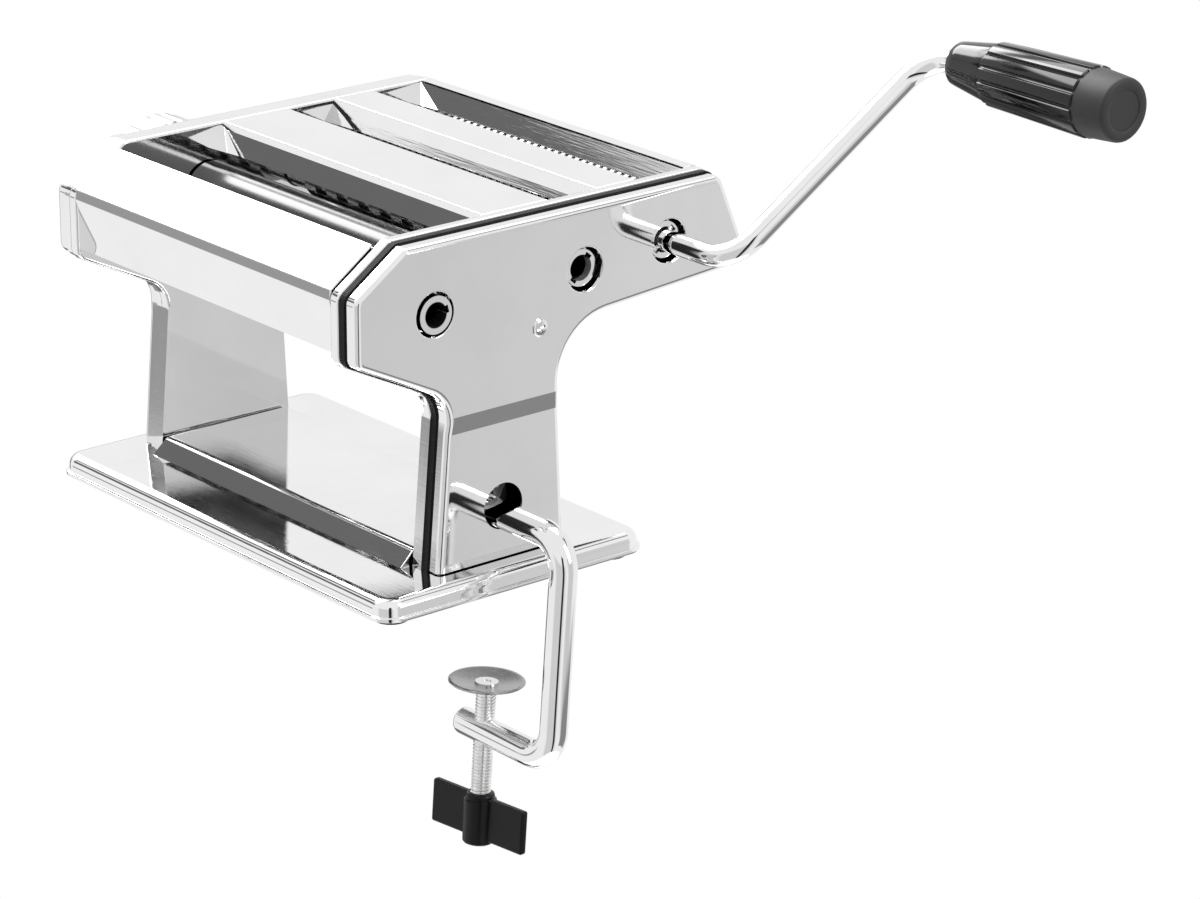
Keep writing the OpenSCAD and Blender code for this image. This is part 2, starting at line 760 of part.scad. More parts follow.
// Corner deflector: a small gusset at both ends of a guide plate's front face
module deflectors(top_y, foot_y, foot_z) {
    both_sides() polyhedron(
        [
            [plate_in, top_y, top_z - sheet_t],
            [plate_in, foot_y - 0.4 * fin_lean, foot_z],
            [plate_in - deflector_x, foot_y, foot_z],
            [plate_in, foot_y + 0.5 * fin_lean, foot_z]
        ],
        [[0, 3, 1], [0, 2, 3], [1, 3, 2], [0, 1, 2]]
    );
}
module guide_plate(front, rear, drop, lean) {
    path = [
        [front - lean, top_z - drop],
        [front, top_z],
        [rear, top_z],
        [rear, top_z - fin_lip]
    ];
    color("silver") union() {
        across(-plate_in, plate_in) polygon(sheet_outline(backwards(path), sheet_t));
        deflectors(front, front - lean, top_z - drop);
    }
}
module guide_front() { guide_plate(fin_front_y, fin_front_rear_y, fin_drop, fin_lean); }
module guide_middle() { guide_plate(fin_mid_y, fin_mid_rear_y, 0.9 * fin_drop, 0.75 * fin_lean); }
module guide_rear() {
    foot = [rear_guide_y - 0.9 * fin_lean, top_z - 0.85 * fin_drop];
    path = [[rear_guide_y, top_z - sheet_t], foot, foot - [0, 2 * sheet_t]];
    color("silver") union() {
        across(-plate_in, plate_in) polygon(sheet_outline(path, sheet_t));
        deflectors(rear_guide_y, foot[0], foot[1]);
    }
}
module rear_cover() {
    path = [
        [rear_guide_y, top_z],
        [tail_y - 0.2 * head_r, top_z],
        [tail_low_y - 0.2 * head_r, tail_low_z + 0.3 * head_r],
        [tail_low_y - 1.2 * head_r, tail_low_z]
    ];
    color("silver") across(-plate_in, plate_in)
        polygon(sheet_outline(backwards(path), sheet_t));
}

// Bearings, scrapers and combs
module bush(at, bore) {
    difference() {
        axle(at, bush_r, plate_in, plate_out);
        axle(at, bore + run_gap, plate_in - cut, plate_out + cut);
    }
}
module bushes() {
    color("goldenrod") {
        for (at = [smooth_at, wide_at, fine_at]) bush(at, drive_journal_r);
        for (at = [wide_rear_at, fine_rear_at]) bush(at, journal_r);
        mirror([1, 0, 0]) for (at = plate_bores) bush(at, journal_r);
    }
}
// Blade whose edge stands near a roller, at an angle round it
scraper_l = smooth_r;
module scraper(at, r, around, aim) {
    edge = at + (r + 3 * air) * [cos(around), sin(around)];
    across(-plate_in, plate_in) polygon(sheet_outline(
        aim > around
            ? [edge + scraper_l * [cos(aim), sin(aim)], edge]
            : [edge, edge + scraper_l * [cos(aim), sin(aim)]],
        sheet_t
    ));
}
module scraper_front() { color("silver") scraper(smooth_at, smooth_r, 225, 250); }
module scraper_rear() { color("silver") scraper(smooth_rear_at, smooth_r, 315, 290); }
// Comb: a blade with fingers in a cutter's grooves
module comb(at, width, shift, around) {
    root = cutter_r - cutter_groove;
    count = floor(roller_l / (2 * width)) - 1;
    finger = width - 4 * ring_gap - 2 * air;
    edge = cutter_r + 3 * air;
    translate([0, at[0], at[1]]) rotate([around, 0, 0]) {
        translate([-plate_in, edge, -sheet_t / 2]) cube([inner_w, 0.6 * scraper_l, sheet_t]);
        for (i = [0 : count - 1])
            translate([(i - (count - 1) / 2) * 2 * width + shift - finger / 2, root + 2 * air, -sheet_t / 2])
            cube([finger, edge - root, sheet_t]);
    }
}
module combs_wide() {
    color("silver") {
        comb(wide_at, wide_cut, wide_cut, 235);
        comb(wide_rear_at, wide_cut, 0, 305);
    }
}
module combs_fine() {
    color("silver") {
        comb(fine_at, fine_cut, fine_cut, 235);
        comb(fine_rear_at, fine_cut, 0, 305);
    }
}

// Rollers and cutters
// Outline of a right end with a crank socket, and of a plain right end
socket_floor = plate_in - socket_back;
drive_end = hub_x - 0.25 * gear_w;
function socket_end(r) = [
    [roller_l / 2, r],
    [roller_l / 2, drive_journal_r],
    [drive_end, drive_journal_r],
    [drive_end, socket_r],
    [socket_floor, socket_r],
    [socket_floor, 0]
];
function plain_end(r) = [
    [roller_l / 2, r],
    [roller_l / 2, journal_r],
    [hub_x, journal_r],
    [hub_x, 0]
];
function far_end(r, x) = [[-x, 0], [-x, journal_r], [-roller_l / 2, journal_r], [-roller_l / 2, r]];
// Rings of a cutter, with a ring or a groove at its middle
function rings_outline(width, shift) =
    let (
        root = cutter_r - cutter_groove,
        count = floor(roller_l / (2 * width)) - (shift == 0 ? 1 : 0),
        half = width / 2 - ring_gap
    )
    [
        for (i = [0 : count - 1])
            let (x = (i - (count - 1) / 2) * 2 * width)
            each [[x - half, root], [x - half, cutter_r], [x + half, cutter_r], [x + half, root]]
    ];
module smooth_roller_front() {
    color("silver") turned(smooth_at, concat(far_end(smooth_r, plate_out), socket_end(smooth_r)));
}
module smooth_roller_rear() {
    color("silver") turned(smooth_rear_at, concat(
        far_end(smooth_r, plate_out - air), plain_end(smooth_r)));
}
module cutter(at, width, shift, end) {
    root = cutter_r - cutter_groove;
    color("silver") turned(at, concat(
        far_end(root, plate_out), rings_outline(width, shift), end(root)));
}
module wide_cutter_front() { cutter(wide_at, wide_cut, 0, function (r) socket_end(r)); }
module wide_cutter_rear() { cutter(wide_rear_at, wide_cut, 1, function (r) plain_end(r)); }
module fine_cutter_front() { cutter(fine_at, fine_cut, 0, function (r) socket_end(r)); }
module fine_cutter_rear() { cutter(fine_rear_at, fine_cut, 1, function (r) plain_end(r)); }

// Gears: straight teeth, narrow enough to run at both roller distances
tooth_share = 0.13;
tooth_root_share = 0.27;
function gear_outline(tip, root) = [
    for (i = [0 : gear_teeth - 1])
        let (mid = 360 * i / gear_teeth, step = 360 / gear_teeth)
        each [
            for (e = [[root, -tooth_root_share], [tip, -tooth_share], [tip, tooth_share],
                [root, tooth_root_share]])
                e[0] * [cos(mid + e[1] * step), sin(mid + e[1] * step)]
        ]
];
module gear(at, tip, root, turn) {
    translate([gear_x, at[0], at[1]]) rotate([90, 0, 90]) rotate([0, 0, turn])
        linear_extrude(gear_w) polygon(gear_outline(tip, root));
}
// Gear with a hub for the crank, notched for its cross key
key_turn = crank_angle - 90;
module drive_gear(at, tip, root, turn, hub, bore, end, key, one) {
    color("silver") difference() {
        union() {
            gear(at, tip, root, turn);
            axle(at, hub, hub_x - gear_w / 2, end);
        }
        axle(at, drive_journal_r, gear_x - cut, drive_end);
        axle(at, bore, drive_end - cut, end + cut);
        translate([drive_end, at[0], at[1]]) rotate([key, 0, 0])
            translate([0, one ? 0 : -bore - notch_d, -notch_w / 2])
            cube([end - drive_end + cut, (one ? 1 : 2) * (bore + notch_d), notch_w]);
    }
}
module plain_gear(at, tip, root, turn) {
    color("silver") difference() {
        gear(at, tip, root, turn);
        axle(at, journal_r, gear_x - cut, hub_x + cut);
    }
}
half_tooth = 180 / gear_teeth;
smooth_tip = (2 * smooth_r + gap_min) / 2 + mesh_smooth;
smooth_root = (2 * smooth_r + gap_min) - smooth_tip - gap_min;
cutter_tip = cutter_pitch_d / 2 + mesh_cutter;
cutter_root = cutter_pitch_d - cutter_tip - 3 * air;
module gear_smooth_front() {
    drive_gear(smooth_at, smooth_tip, smooth_root, smooth_slope, hub_smooth_r,
        hub_smooth_bore_r, cover_x + hub_proud, hub_smooth_turn, true);
}
module gear_smooth_rear() {
    plain_gear(smooth_rear_at, smooth_tip, smooth_root, smooth_slope + half_tooth);
}
module gear_wide_front() {
    drive_gear(wide_at, cutter_tip, cutter_root, 0, hub_cutter_r, hub_cutter_bore_r,
        cover_x - hub_back, hub_wide_turn, false);
}
module gear_wide_rear() { plain_gear(wide_rear_at, cutter_tip, cutter_root, half_tooth); }
module gear_fine_front() {
    drive_gear(fine_at, cutter_tip, cutter_root, 0, hub_cutter_r, hub_cutter_bore_r,
        cover_x - hub_back, crank_angle, false);
}
module gear_fine_rear() { plain_gear(fine_rear_at, cutter_tip, cutter_root, half_tooth); }

// Slide blocks of the rear smooth roller, the left one with the cam's follower
follower_at = knob_at - (cam_r + follower_r + air) * smooth_dir;
follower_d = (follower_at - smooth_at) * smooth_dir;
cam_x0 = plate_out + gasket_t;
module slide_block(arm) {
    from = arm > 0 ? follower_d - follower_r : smooth_d - block_half;
    half_h = arm > 0 ? block_half_h / 2 : block_half_h;
    translate(smooth_at) rotate([0, 0, smooth_slope]) translate([from, -half_h])
        square([smooth_d + block_half - from, 2 * half_h]);
}
module roller_slides() {
    color("dimgray") difference() {
        union() {
            both_sides() across(plate_in + air, plate_out - air) slide_block(0);
            mirror([1, 0, 0]) across(plate_in + air, plate_out + 2 * air) slide_block(0);
            mirror([1, 0, 0]) across(plate_out + air, cam_x0 - 2 * air) slide_block(1);
            axle(follower_at, follower_r, -cam_x0 - cam_t, -plate_out - air);
        }
        axle(smooth_rear_at, journal_r + run_gap, -cam_x0, plate_out + cut);
    }
}

// Regulator: a dial plate, a spindle with a linear cam, and a knob that pulls out
function cam_radius(a) =
    let (rise = gap_travel, u = (180 - a) / knob_turn)
    a <= 180 && a >= 180 - knob_turn ? cam_r + rise * u :
    a > 180 && a < 205 ? cam_r :
    a >= 205 && a <= 245 ? cam_r + rise * (a - 205) / 40 : cam_r + rise;
knob_x0 = cover_x + dial_t + 20 * air;
knob_x1 = knob_x0 + knob_d;
well_r = 1.75 * spindle_r;
well_x = knob_x1 - 0.64 * knob_d;
stop_x = well_x + knob_pull + 20 * air;
cap_t = 0.11 * knob_d;
module regulator_dial() {
    color("dimgray") mirror([1, 0, 0]) difference() {
        union() {
            axle(knob_at, dial_r, cover_x, cover_x + dial_t);
            axle(knob_at, window_r - run_gap, cover_roof - 5 * air, cover_x + dial_t / 2);
        }
        axle(knob_at, spindle_r + run_gap, cover_in, knob_x0);
        translate([0, knob_at[0], knob_at[1]]) for (i = [0 : 8]) rotate([i * knob_turn / 8, 0, 0])
            translate([cover_x + 0.6 * dial_t, 0.82 * dial_r, -0.3 * dial_t])
            cube([dial_t, 0.2 * dial_r, 0.4 * dial_t]);
    }
}
module regulator_spindle() {
    color("silver") {
        mirror([1, 0, 0]) {
            axle(knob_at, spindle_r, cam_x0, knob_x0);
            translate([knob_x0 - cut, knob_at[0] - spindle_sq / 2, knob_at[1] - spindle_sq / 2])
                cube([stop_x - knob_x0 + cut, spindle_sq, spindle_sq]);
            axle(knob_at, well_r - 8 * air, stop_x, stop_x + 10 * air);
        }
        translate([-cam_x0 - cam_t, knob_at[0], knob_at[1]]) rotate([90, 0, 90])
            rotate([0, 0, smooth_slope]) linear_extrude(cam_t) polygon([
                for (k = [0 : 89]) let (a = 270 - 4 * k) cam_radius(a) * [cos(a), sin(a)]
            ]);
    }
}
module regulator_knob() {
    grips = 30;
    pin_r = 0.3 * spindle_r;
    flute_r = 0.045 * knob_r;
    color("silver") mirror([1, 0, 0]) difference() {
        union() {
            axle(knob_at, knob_r, knob_x0, knob_x1);
            axle(knob_at + [0, 0.65 * knob_r], pin_r, knob_x0 - 17 * air, knob_x0 + pin_r);
        }
        axle(knob_at, well_r, well_x, knob_x1 + cut);
        translate([knob_x0 - cut, knob_at[0] - spindle_sq / 2 - air, knob_at[1] - spindle_sq / 2 - air])
            cube([knob_d, spindle_sq + 2 * air, spindle_sq + 2 * air]);
        turned(knob_at, [
            [knob_x0 - cut, 1.5 * well_r],
            [knob_x0 - cut, 0.55 * knob_r],
            [knob_x0 + 0.3 * knob_d, 0.55 * knob_r],
            [knob_x0 + 0.3 * knob_d, 1.5 * well_r]
        ]);
        for (i = [0 : grips - 1]) translate([knob_x0 - cut, knob_at[0], knob_at[1]])
            rotate([i * 360 / grips, 0, 0]) translate([0, knob_r + 0.4 * flute_r, 0])
            rotate([0, 90, 0]) cylinder(r = flute_r, h = knob_d + 2 * cut, $fn = 16);
    }
}
module knob_cap() {
    color("silver") mirror([1, 0, 0])
        axle(knob_at, well_r, knob_x1 - cap_t, knob_x1);
}
module regulator_spring() {
    color("silver") mirror([1, 0, 0]) difference() {
        axle(knob_at, well_r - 10 * air, well_x + air, stop_x - air);
        axle(knob_at, well_r - 18 * air, well_x - cut, stop_x + cut);
    }
}

// Crank: the rod's path lies in a plane through the socket's axis
crank_start = plate_in - socket_back + 5 * air;
grip_end = grip_x + neck_l + barrel_l;
crank_end = grip_end - 2 * crank_r;
crank_path = [[crank_start, 0], [crank_bend_x, 0], [crank_out_x, crank_throw], [crank_end, crank_throw]];
grip_at = fine_at + crank_throw * [cos(crank_angle), sin(crank_angle)];
module in_crank_plane() {
    translate([0, fine_at[0], fine_at[1]]) rotate([crank_angle, 0, 0]) children();
}
key_x = cover_x - hub_back - 1.3 * key_r;
key_l = 2 * (hub_cutter_bore_r + notch_d) - 6 * air;
module crank_rod() {
    color("silver") difference() {
        in_crank_plane() rod_path(crank_path, crank_bend_r, crank_r);
        in_crank_plane() translate([key_x, -crank_r - cut, 0]) rotate([-90, 0, 0])
            cylinder(r = key_r, h = 2 * (crank_r + cut));
    }
}
module crank_key() {
    color("silver") in_crank_plane() translate([key_x, -key_l / 2, 0]) rotate([-90, 0, 0])
        cylinder(r = key_r, h = key_l);
}
washer_r = 1.6 * crank_r;
washer_t = 0.25 * crank_r;
module grip_washer() {
    color("silver") axle(grip_at, washer_r, crank_end, crank_end + washer_t);
}
pocket_x = crank_end - 3 * air;
module crank_grip() {
    barrel_x = grip_x + neck_l;
    groove = 0.55 * PI * barrel_r / ribs;
    lean = atan((barrel_big_r - barrel_r) / barrel_l);
    edge = 0.8 * rib_d;
    color("black") difference() {
        turned(grip_at, [
            [grip_x, crank_r + run_gap],
            [grip_x, neck_r - edge],
            [grip_x + edge, neck_r],
            [barrel_x, neck_big_r],
            [barrel_x, barrel_r - edge],
            [barrel_x + edge, barrel_r],
            [grip_end - edge, barrel_big_r],
            [grip_end, barrel_big_r - edge],
            [grip_end, washer_r + 3 * air],
            [pocket_x, washer_r + 3 * air],
            [pocket_x, crank_r + run_gap]
        ]);
        translate([barrel_x, grip_at[0], grip_at[1]]) for (i = [0 : ribs - 1])
            rotate([i * 360 / ribs, 0, 0]) translate([-cut, barrel_r - rib_d, -groove / 2])
            rotate([0, 0, lean])
            cube([barrel_l - 2 * edge + cut, 3 * rib_d, groove]);
    }
}
module grip_cap() {
    edge = rib_d;
    lip = 0.4 * rib_d;
    plug_l = 0.3 * cap_l;
    color("dimgray") turned(grip_at, [
        [grip_end - plug_l, 0],
        [grip_end - plug_l, washer_r + 2 * air],
        [grip_end, washer_r + 2 * air],
        [grip_end, cap_r],
        [grip_end + cap_l - edge, cap_end_r],
        [grip_end + cap_l - 0.3 * edge, cap_end_r - 0.3 * edge],
        [grip_end + cap_l, cap_end_r - edge],
        [grip_end + cap_l, recess_r],
        [grip_end + cap_l - lip, recess_r],
        [grip_end + cap_l - lip, 0]
    ]);
}

// Clamp: modelled with its lower end straight down, then swung about the rod
module swung() {
    translate([0, clamp_at[0], clamp_at[1]]) rotate([-clamp_swing, 0, 0]) children();
}
module below_arm(down) {
    translate([screw_x, 0, -down]) children();
}
module clamp_guide() {
    color("gray") difference() {
        axle(clamp_at, guide_r, plate_in - guide_l, plate_in);
        axle(clamp_at, liner_r + run_gap, plate_in - guide_l - cut, plate_in + cut);
    }
}
module clamp_liner() {
    color("black") difference() {
        union() {
            axle(clamp_at, liner_r, plate_in - guide_l - air, plate_in);
            axle(clamp_at, guide_r, plate_in - guide_l - air - 0.2 * liner_r, plate_in - guide_l - air);
        }
        axle(clamp_at, clamp_r + run_gap, plate_in - 2 * guide_l, plate_in + cut);
    }
}
screw_bore = screw_r + run_gap;
module clamp_arm() {
    path = [[clamp_in_x, 0], [clamp_x, 0], [clamp_x, -clamp_h], [clamp_tip_x, -clamp_h]];
    color("silver") difference() {
        swung() rotate([90, 0, 0]) rod_path(path, clamp_bend_r, clamp_r);
        swung() below_arm(clamp_h + clamp_r + cut) cylinder(r = screw_bore, h = 2 * (clamp_r + cut));
    }
}
screw_top = pad_down + pad_h - pad_t;
screw_low = wing_down + 0.9 * wing_hub_h;
thread_n = floor((screw_low - screw_top - 2 * pad_t) / screw_pitch);
module clamp_screw() {
    neck = screw_r - thread_d;
    shank_low = screw_top + 2 * pad_t;
    color("silver") swung() below_arm(0) rotate_extrude() polygon(concat(
        [[0, -screw_top], [neck, -screw_top], [neck, -shank_low]],
        [for (i = [0 : thread_n - 1]) each [
            [neck, -shank_low - (i + 0.1) * screw_pitch],
            [screw_r, -shank_low - (i + 0.4) * screw_pitch],
            [screw_r, -shank_low - (i + 0.6) * screw_pitch],
            [neck, -shank_low - (i + 0.9) * screw_pitch]
        ]],
        [[neck, -screw_low], [0, -screw_low]]
    ));
}
module clamp_pad() {
    bore = screw_r - thread_d + run_gap;
    dish = pad_down + pad_h;
    flat_r = 0.42 * pad_r;
    color("silver") swung() below_arm(0) rotate_extrude() polygon([
        [bore, -dish],
        [flat_r, -dish],
        [0.72 * pad_r, -dish + 0.62 * pad_h],
        [pad_r, -pad_down - pad_t],
        [pad_r, -pad_down],
        [0.72 * pad_r, -dish + 0.62 * pad_h + pad_t],
        [flat_r, -dish + pad_t],
        [bore, -dish + pad_t]
    ]);
}
module pad_rivet() {
    color("silver") swung() below_arm(screw_top) difference() {
        cylinder(r = 1.3 * (screw_r - thread_d), h = 0.6 * pad_t);
        translate([0, 0, 0.3 * pad_t]) cylinder(r = 0.5 * (screw_r - thread_d), h = pad_t);
    }
}
module clamp_wing() {
    low = wing_down + wing_hub_h;
    blade_low = wing_down + 0.5 * (wing_hub_h + wing_h);
    taper = 0.12 * wing_h;
    color("black") swung() below_arm(0) difference() {
        union() {
            translate([0, 0, -low]) cylinder(r = wing_hub_r, h = wing_hub_h);
            rotate([90, 0, wing_turn]) translate([0, 0, -wing_t / 2]) linear_extrude(wing_t)
                polygon([
                    [-wing_span / 2, -blade_low],
                    [0, -blade_low + taper / 2],
                    [wing_span / 2, -blade_low],
                    [wing_span / 2, -blade_low + wing_h],
                    [0, -blade_low + wing_h - taper / 2],
                    [-wing_span / 2, -blade_low + wing_h]
                ]);
        }
        translate([0, 0, -screw_low]) cylinder(r = screw_r, h = screw_low - wing_down + cut);
    }
}

base_pan();
base_channel();
rubber_feet();
leg_screws();
side_frame_right();
side_frame_left();
gasket_right();
gasket_left();
cover_right();
cover_left();
cover_posts();
cover_screws();
tie_rods();
tie_nuts();
front_cover();
rear_cover();
guide_front();
guide_middle();
guide_rear();
bushes();
scraper_front();
scraper_rear();
combs_wide();
combs_fine();
smooth_roller_front();
gear_smooth_front();
smooth_roller_rear();
gear_smooth_rear();
roller_slides();
wide_cutter_front();
gear_wide_front();
wide_cutter_rear();
gear_wide_rear();
fine_cutter_front();
gear_fine_front();
fine_cutter_rear();
gear_fine_rear();
regulator_dial();
regulator_spindle();
regulator_knob();
regulator_spring();
knob_cap();
crank_rod();
crank_key();
grip_washer();
crank_grip();
grip_cap();
clamp_guide();
clamp_liner();
clamp_arm();
clamp_screw();
clamp_pad();
pad_rivet();
clamp_wing();
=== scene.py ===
import json
import math

import bmesh
import bpy
from mathutils import Matrix, Vector


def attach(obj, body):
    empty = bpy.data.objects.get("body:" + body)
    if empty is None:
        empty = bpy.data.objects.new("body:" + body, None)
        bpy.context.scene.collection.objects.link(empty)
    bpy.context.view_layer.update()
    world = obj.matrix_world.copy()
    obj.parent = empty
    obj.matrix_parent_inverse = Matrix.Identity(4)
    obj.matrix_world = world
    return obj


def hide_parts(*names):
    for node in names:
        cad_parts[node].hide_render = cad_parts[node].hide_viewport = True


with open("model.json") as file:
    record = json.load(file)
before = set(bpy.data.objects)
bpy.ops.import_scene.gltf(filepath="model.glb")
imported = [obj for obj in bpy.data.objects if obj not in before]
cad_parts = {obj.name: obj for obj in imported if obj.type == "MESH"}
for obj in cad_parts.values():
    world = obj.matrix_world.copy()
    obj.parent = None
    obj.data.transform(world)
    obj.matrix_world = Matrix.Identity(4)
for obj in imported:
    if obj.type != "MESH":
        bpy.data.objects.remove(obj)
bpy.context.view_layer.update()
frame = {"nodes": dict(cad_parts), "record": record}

# Hand-cranked pasta machine. Sizes are millimetres in the row frame and become metres through mm().
MM = 0.001
PLATE_IN, PLATE_OUT = 76, 80.8
COVER_IN, COVER_ROOF, COVER_OUT = 83.6, 88.8, 90
COVER_STEP, COVER_WALL, COVER_EDGE = 1.0, 1.0, 2.4
COVER_FOOT = 8.0
JOGGLE_TOP, JOGGLE_FOOT, JOGGLE_DEPTH = 64, 57.8, 0.47
BASE_TOP, TOP = 7.5, 129
SHEET = 0.8
SMOOTH_AXIS, WIDE_AXIS, FINE_AXIS = (-28.4, 102.7), (37.4, 105.7), (75.5, 108.6)
SMOOTH_REAR_AXIS, WIDE_REAR_AXIS, FINE_REAR_AXIS = (-4.06, 104.4), (54.4, 105.7), (92.5, 108.6)
KNOB_AXIS, COVER_SCREW = (-6.4, 104), (17, 88.8)
KNOB_BACK, KNOB_FACE = -94, -108
HUB_BORE_R, HUB_EDGE = 4.55, 0.25
CLAMP_AXIS, CLAMP_HOLE, CLAMP_HOLE_R = (1, 23.6), (1, 26.9), 8.45
WINDOW_R, BUSH_R = 8, 8
# How far cuts and fused shapes reach past the surface; how close places are that count as the same; how
# straight a face looks along an axis that counts as facing it
OVERRUN, SAME, NEAR, FACING = 1, 0.02, 0.1, 0.9
CRANK_ANGLE, CRANK_THROW, CRANK_R = 42.1, 98.6, 4
CLAMP_SWING, CLAMP_R = 4.2, 5
CLAMP_OUT_X, CLAMP_TIP_X, SCREW_X = 123.5, 73.2, 85.7
CLAMP_LOW, WING_TOP = 81, 104.4
GRIP_X, BARREL_X, CAP_X = 158, 177.2, 222.9
SOCKET_X = 72.8

# Side plate's outline: place along Y, height and rounding of each corner
FRAME_CORNERS = [
    (-28.6, BASE_TOP, 0), (29.6, BASE_TOP, 0), (26, 86.6, 21.5), (115.5, 93, 5), (100.6, TOP, 5),
    (-40.5, TOP, 3), (-62.5, 113.8, 5), (-62.5, 89.2, 5), (-23.3, 69.9, 12),
]

BODY_OF = {node: body for body, nodes in frame["record"]["behaviour"]["bodies"].items() for node in nodes}


def mm(*values):
    """A place or a step given in millimetres."""
    return Vector(values) * MM


# Outlines

def left_of(way):
    """The direction a quarter turn to the left."""
    return Vector((-way.y, way.x))


def neighbours(corners, i, closed):
    """The corner at i with the directions in to it and out of it."""
    here = Vector(corners[i][:2])
    before = Vector(corners[i - 1][:2])
    after = Vector(corners[(i + 1) % len(corners)][:2])
    if not closed and i == 0:
        before = here - (after - here)
    if not closed and i == len(corners) - 1:
        after = here + (here - before)
    return here, (here - before).normalized(), (after - here).normalized()


def moved_in(corners, d):
    """The closed outline with each side moved in by d."""
    moved = []
    for i, (_, _, r) in enumerate(corners):
        here, came, goes = neighbours(corners, i, True)
        a, b = left_of(came), left_of(goes)
        spot = here + d * (a + b) / (1 + a.dot(b))
        turn = came.cross(goes)
        moved.append((spot.x, spot.y, max(0.2 * r, r - math.copysign(d, turn)) if r else 0))
    return moved


def rounded(corners, closed=True, per_quarter=12):
    """Points along an outline or path, its corners rounded by their radius."""
    points = []
    for i, (_, _, r) in enumerate(corners):
        here, came, goes = neighbours(corners, i, closed)
        turn = came.angle(goes, 0)
        if not r or turn < 0.02:
            points.append(here)
            continue
        side = math.copysign(1, came.cross(goes))
        start = here - came * r * math.tan(turn / 2)
        centre = start + side * r * left_of(came)
        steps = max(3, round(turn / math.radians(90) * per_quarter))
        for k in range(steps + 1):
            spoke = Matrix.Rotation(side * turn * k / steps, 2) @ (start - centre)
            points.append(centre + spoke)
    return points


def frame_outline(d, foot=BASE_TOP):
    """The side plate's outline moved in by d, its foot kept at one height."""
    low = [(y, foot - d if i < 2 else z, r) for i, (y, z, r) in enumerate(FRAME_CORNERS)]
    return [(y, max(z, foot)) for y, z in rounded(moved_in(low, d))]


def sheet_outline(path, thickness):
    """A path with its corners rounded, closed by the same path moved to its left."""
    points = rounded(path, closed=False, per_quarter=8)
    flat = [(p.x, p.y, 0) for p in points]
    back = []
    for i in range(len(points)):
        here, came, goes = neighbours(flat, i, False)
        a, b = left_of(came), left_of(goes)
        back.append(here + thickness * (a + b) / (1 + a.dot(b)))
    return [tuple(p) for p in points + back[::-1]]


# Modelling

def only(piece):
    """Makes piece the one that is selected and active."""
    for other in bpy.context.selected_objects:
        other.select_set(False)
    piece.select_set(True)
    bpy.context.view_layer.objects.active = piece


class editing:
    """Edit mode on one piece, with all or none of it selected."""

    def __init__(self, piece, action="SELECT"):
        self.piece, self.action = piece, action

    def __enter__(self):
        only(self.piece)
        bpy.context.tool_settings.mesh_select_mode = (True, False, False)
        bpy.ops.object.mode_set(mode="EDIT")
        bpy.ops.mesh.select_all(action=self.action)

    def __exit__(self, *_):
        bpy.ops.object.mode_set(mode="OBJECT")


def choose_edges(piece, test, span=None):
    """Selects the edges whose two ends pass a test, and whose way from end to end passes span."""
    bpy.ops.mesh.select_mode(type="EDGE")
    bpy.ops.mesh.select_all(action="DESELECT")
    mesh = bmesh.from_edit_mesh(piece.data)
    for edge in mesh.edges:
        a, b = (end.co / MM for end in edge.verts)
        edge.select_set(test(a) and test(b) and (span is None or span(b - a)))
    bmesh.update_edit_mesh(piece.data)


def choose_faces(piece, test):
    """Selects the faces whose middle and normal pass a test."""
    bpy.ops.mesh.select_mode(type="FACE")
    bpy.ops.mesh.select_all(action="DESELECT")
    mesh = bmesh.from_edit_mesh(piece.data)
    mesh.normal_update()
    for face in mesh.faces:
        face.select_set(test(face.calc_center_median() / MM, face.normal))
    bmesh.update_edit_mesh(piece.data)


def outward():
    """Merges doubles and points all faces outwards, in edit mode."""
    bpy.ops.mesh.select_all(action="SELECT")
    bpy.ops.mesh.remove_doubles(threshold=0.002 * MM)
    bpy.ops.mesh.normals_make_consistent(inside=False)


def line(name, points):
    """A chain of edges: one vertex, extruded from point to point."""
    bpy.context.tool_settings.mesh_select_mode = (True, False, False)
    bpy.ops.mesh.primitive_plane_add(size=MM)
    piece = bpy.context.object
    piece.name = name
    with editing(piece):
        bpy.ops.mesh.merge(type="CENTER")
        bpy.ops.transform.translate(value=points[0])
        for a, b in zip(points, points[1:]):
            bpy.ops.mesh.extrude_vertices_move(TRANSFORM_OT_translate={"value": b - a})
    return piece


def join(piece, other):
    """Adds another mesh to a piece."""
    only(piece)
    other.select_set(True)
    bpy.ops.object.join()


def plate(name, outline, x0, x1):
    """An outline in the side view, filled and extruded along X."""
    piece = line(name, [mm(x0, y, z) for y, z in outline])
    with editing(piece):
        bpy.ops.mesh.edge_face_add()
        bpy.ops.mesh.extrude_region_move(TRANSFORM_OT_translate={"value": mm(x1 - x0, 0, 0)})
        outward()
    return piece


def stacked(name, rings):
    """Closed outlines of equal point count at their places along X, joined in one closed skin."""
    piece = None
    for x, outline in rings:
        ring = line(name, [mm(x, y, z) for y, z in outline])
        with editing(ring):
            bpy.ops.mesh.edge_face_add()
            bpy.ops.mesh.delete(type="ONLY_FACE")
        if piece:
            join(piece, ring)
        else:
            piece = ring
    with editing(piece):
        bpy.ops.mesh.bridge_edge_loops()
        bpy.ops.mesh.select_all(action="SELECT")
        bpy.ops.mesh.fill_holes(sides=0)
        outward()
    return piece


def quarter(steps=6):
    """Sine and one minus cosine over a quarter turn, for rounded edges."""
    for k in range(steps + 1):
        a = math.radians(90) * k / steps
        yield 1 - math.sin(a), 1 - math.cos(a)


def turned(name, profile, at, steps=96):
    """A profile of (place along X, radius), spun about the axis at (y, z)."""
    middle = mm(0, *at)
    piece = line(name, [middle + mm(x, 0, r) for x, r in profile])
    with editing(piece):
        bpy.ops.mesh.spin(steps=steps, angle=math.tau, center=middle, axis=(1, 0, 0))
        outward()
    return piece


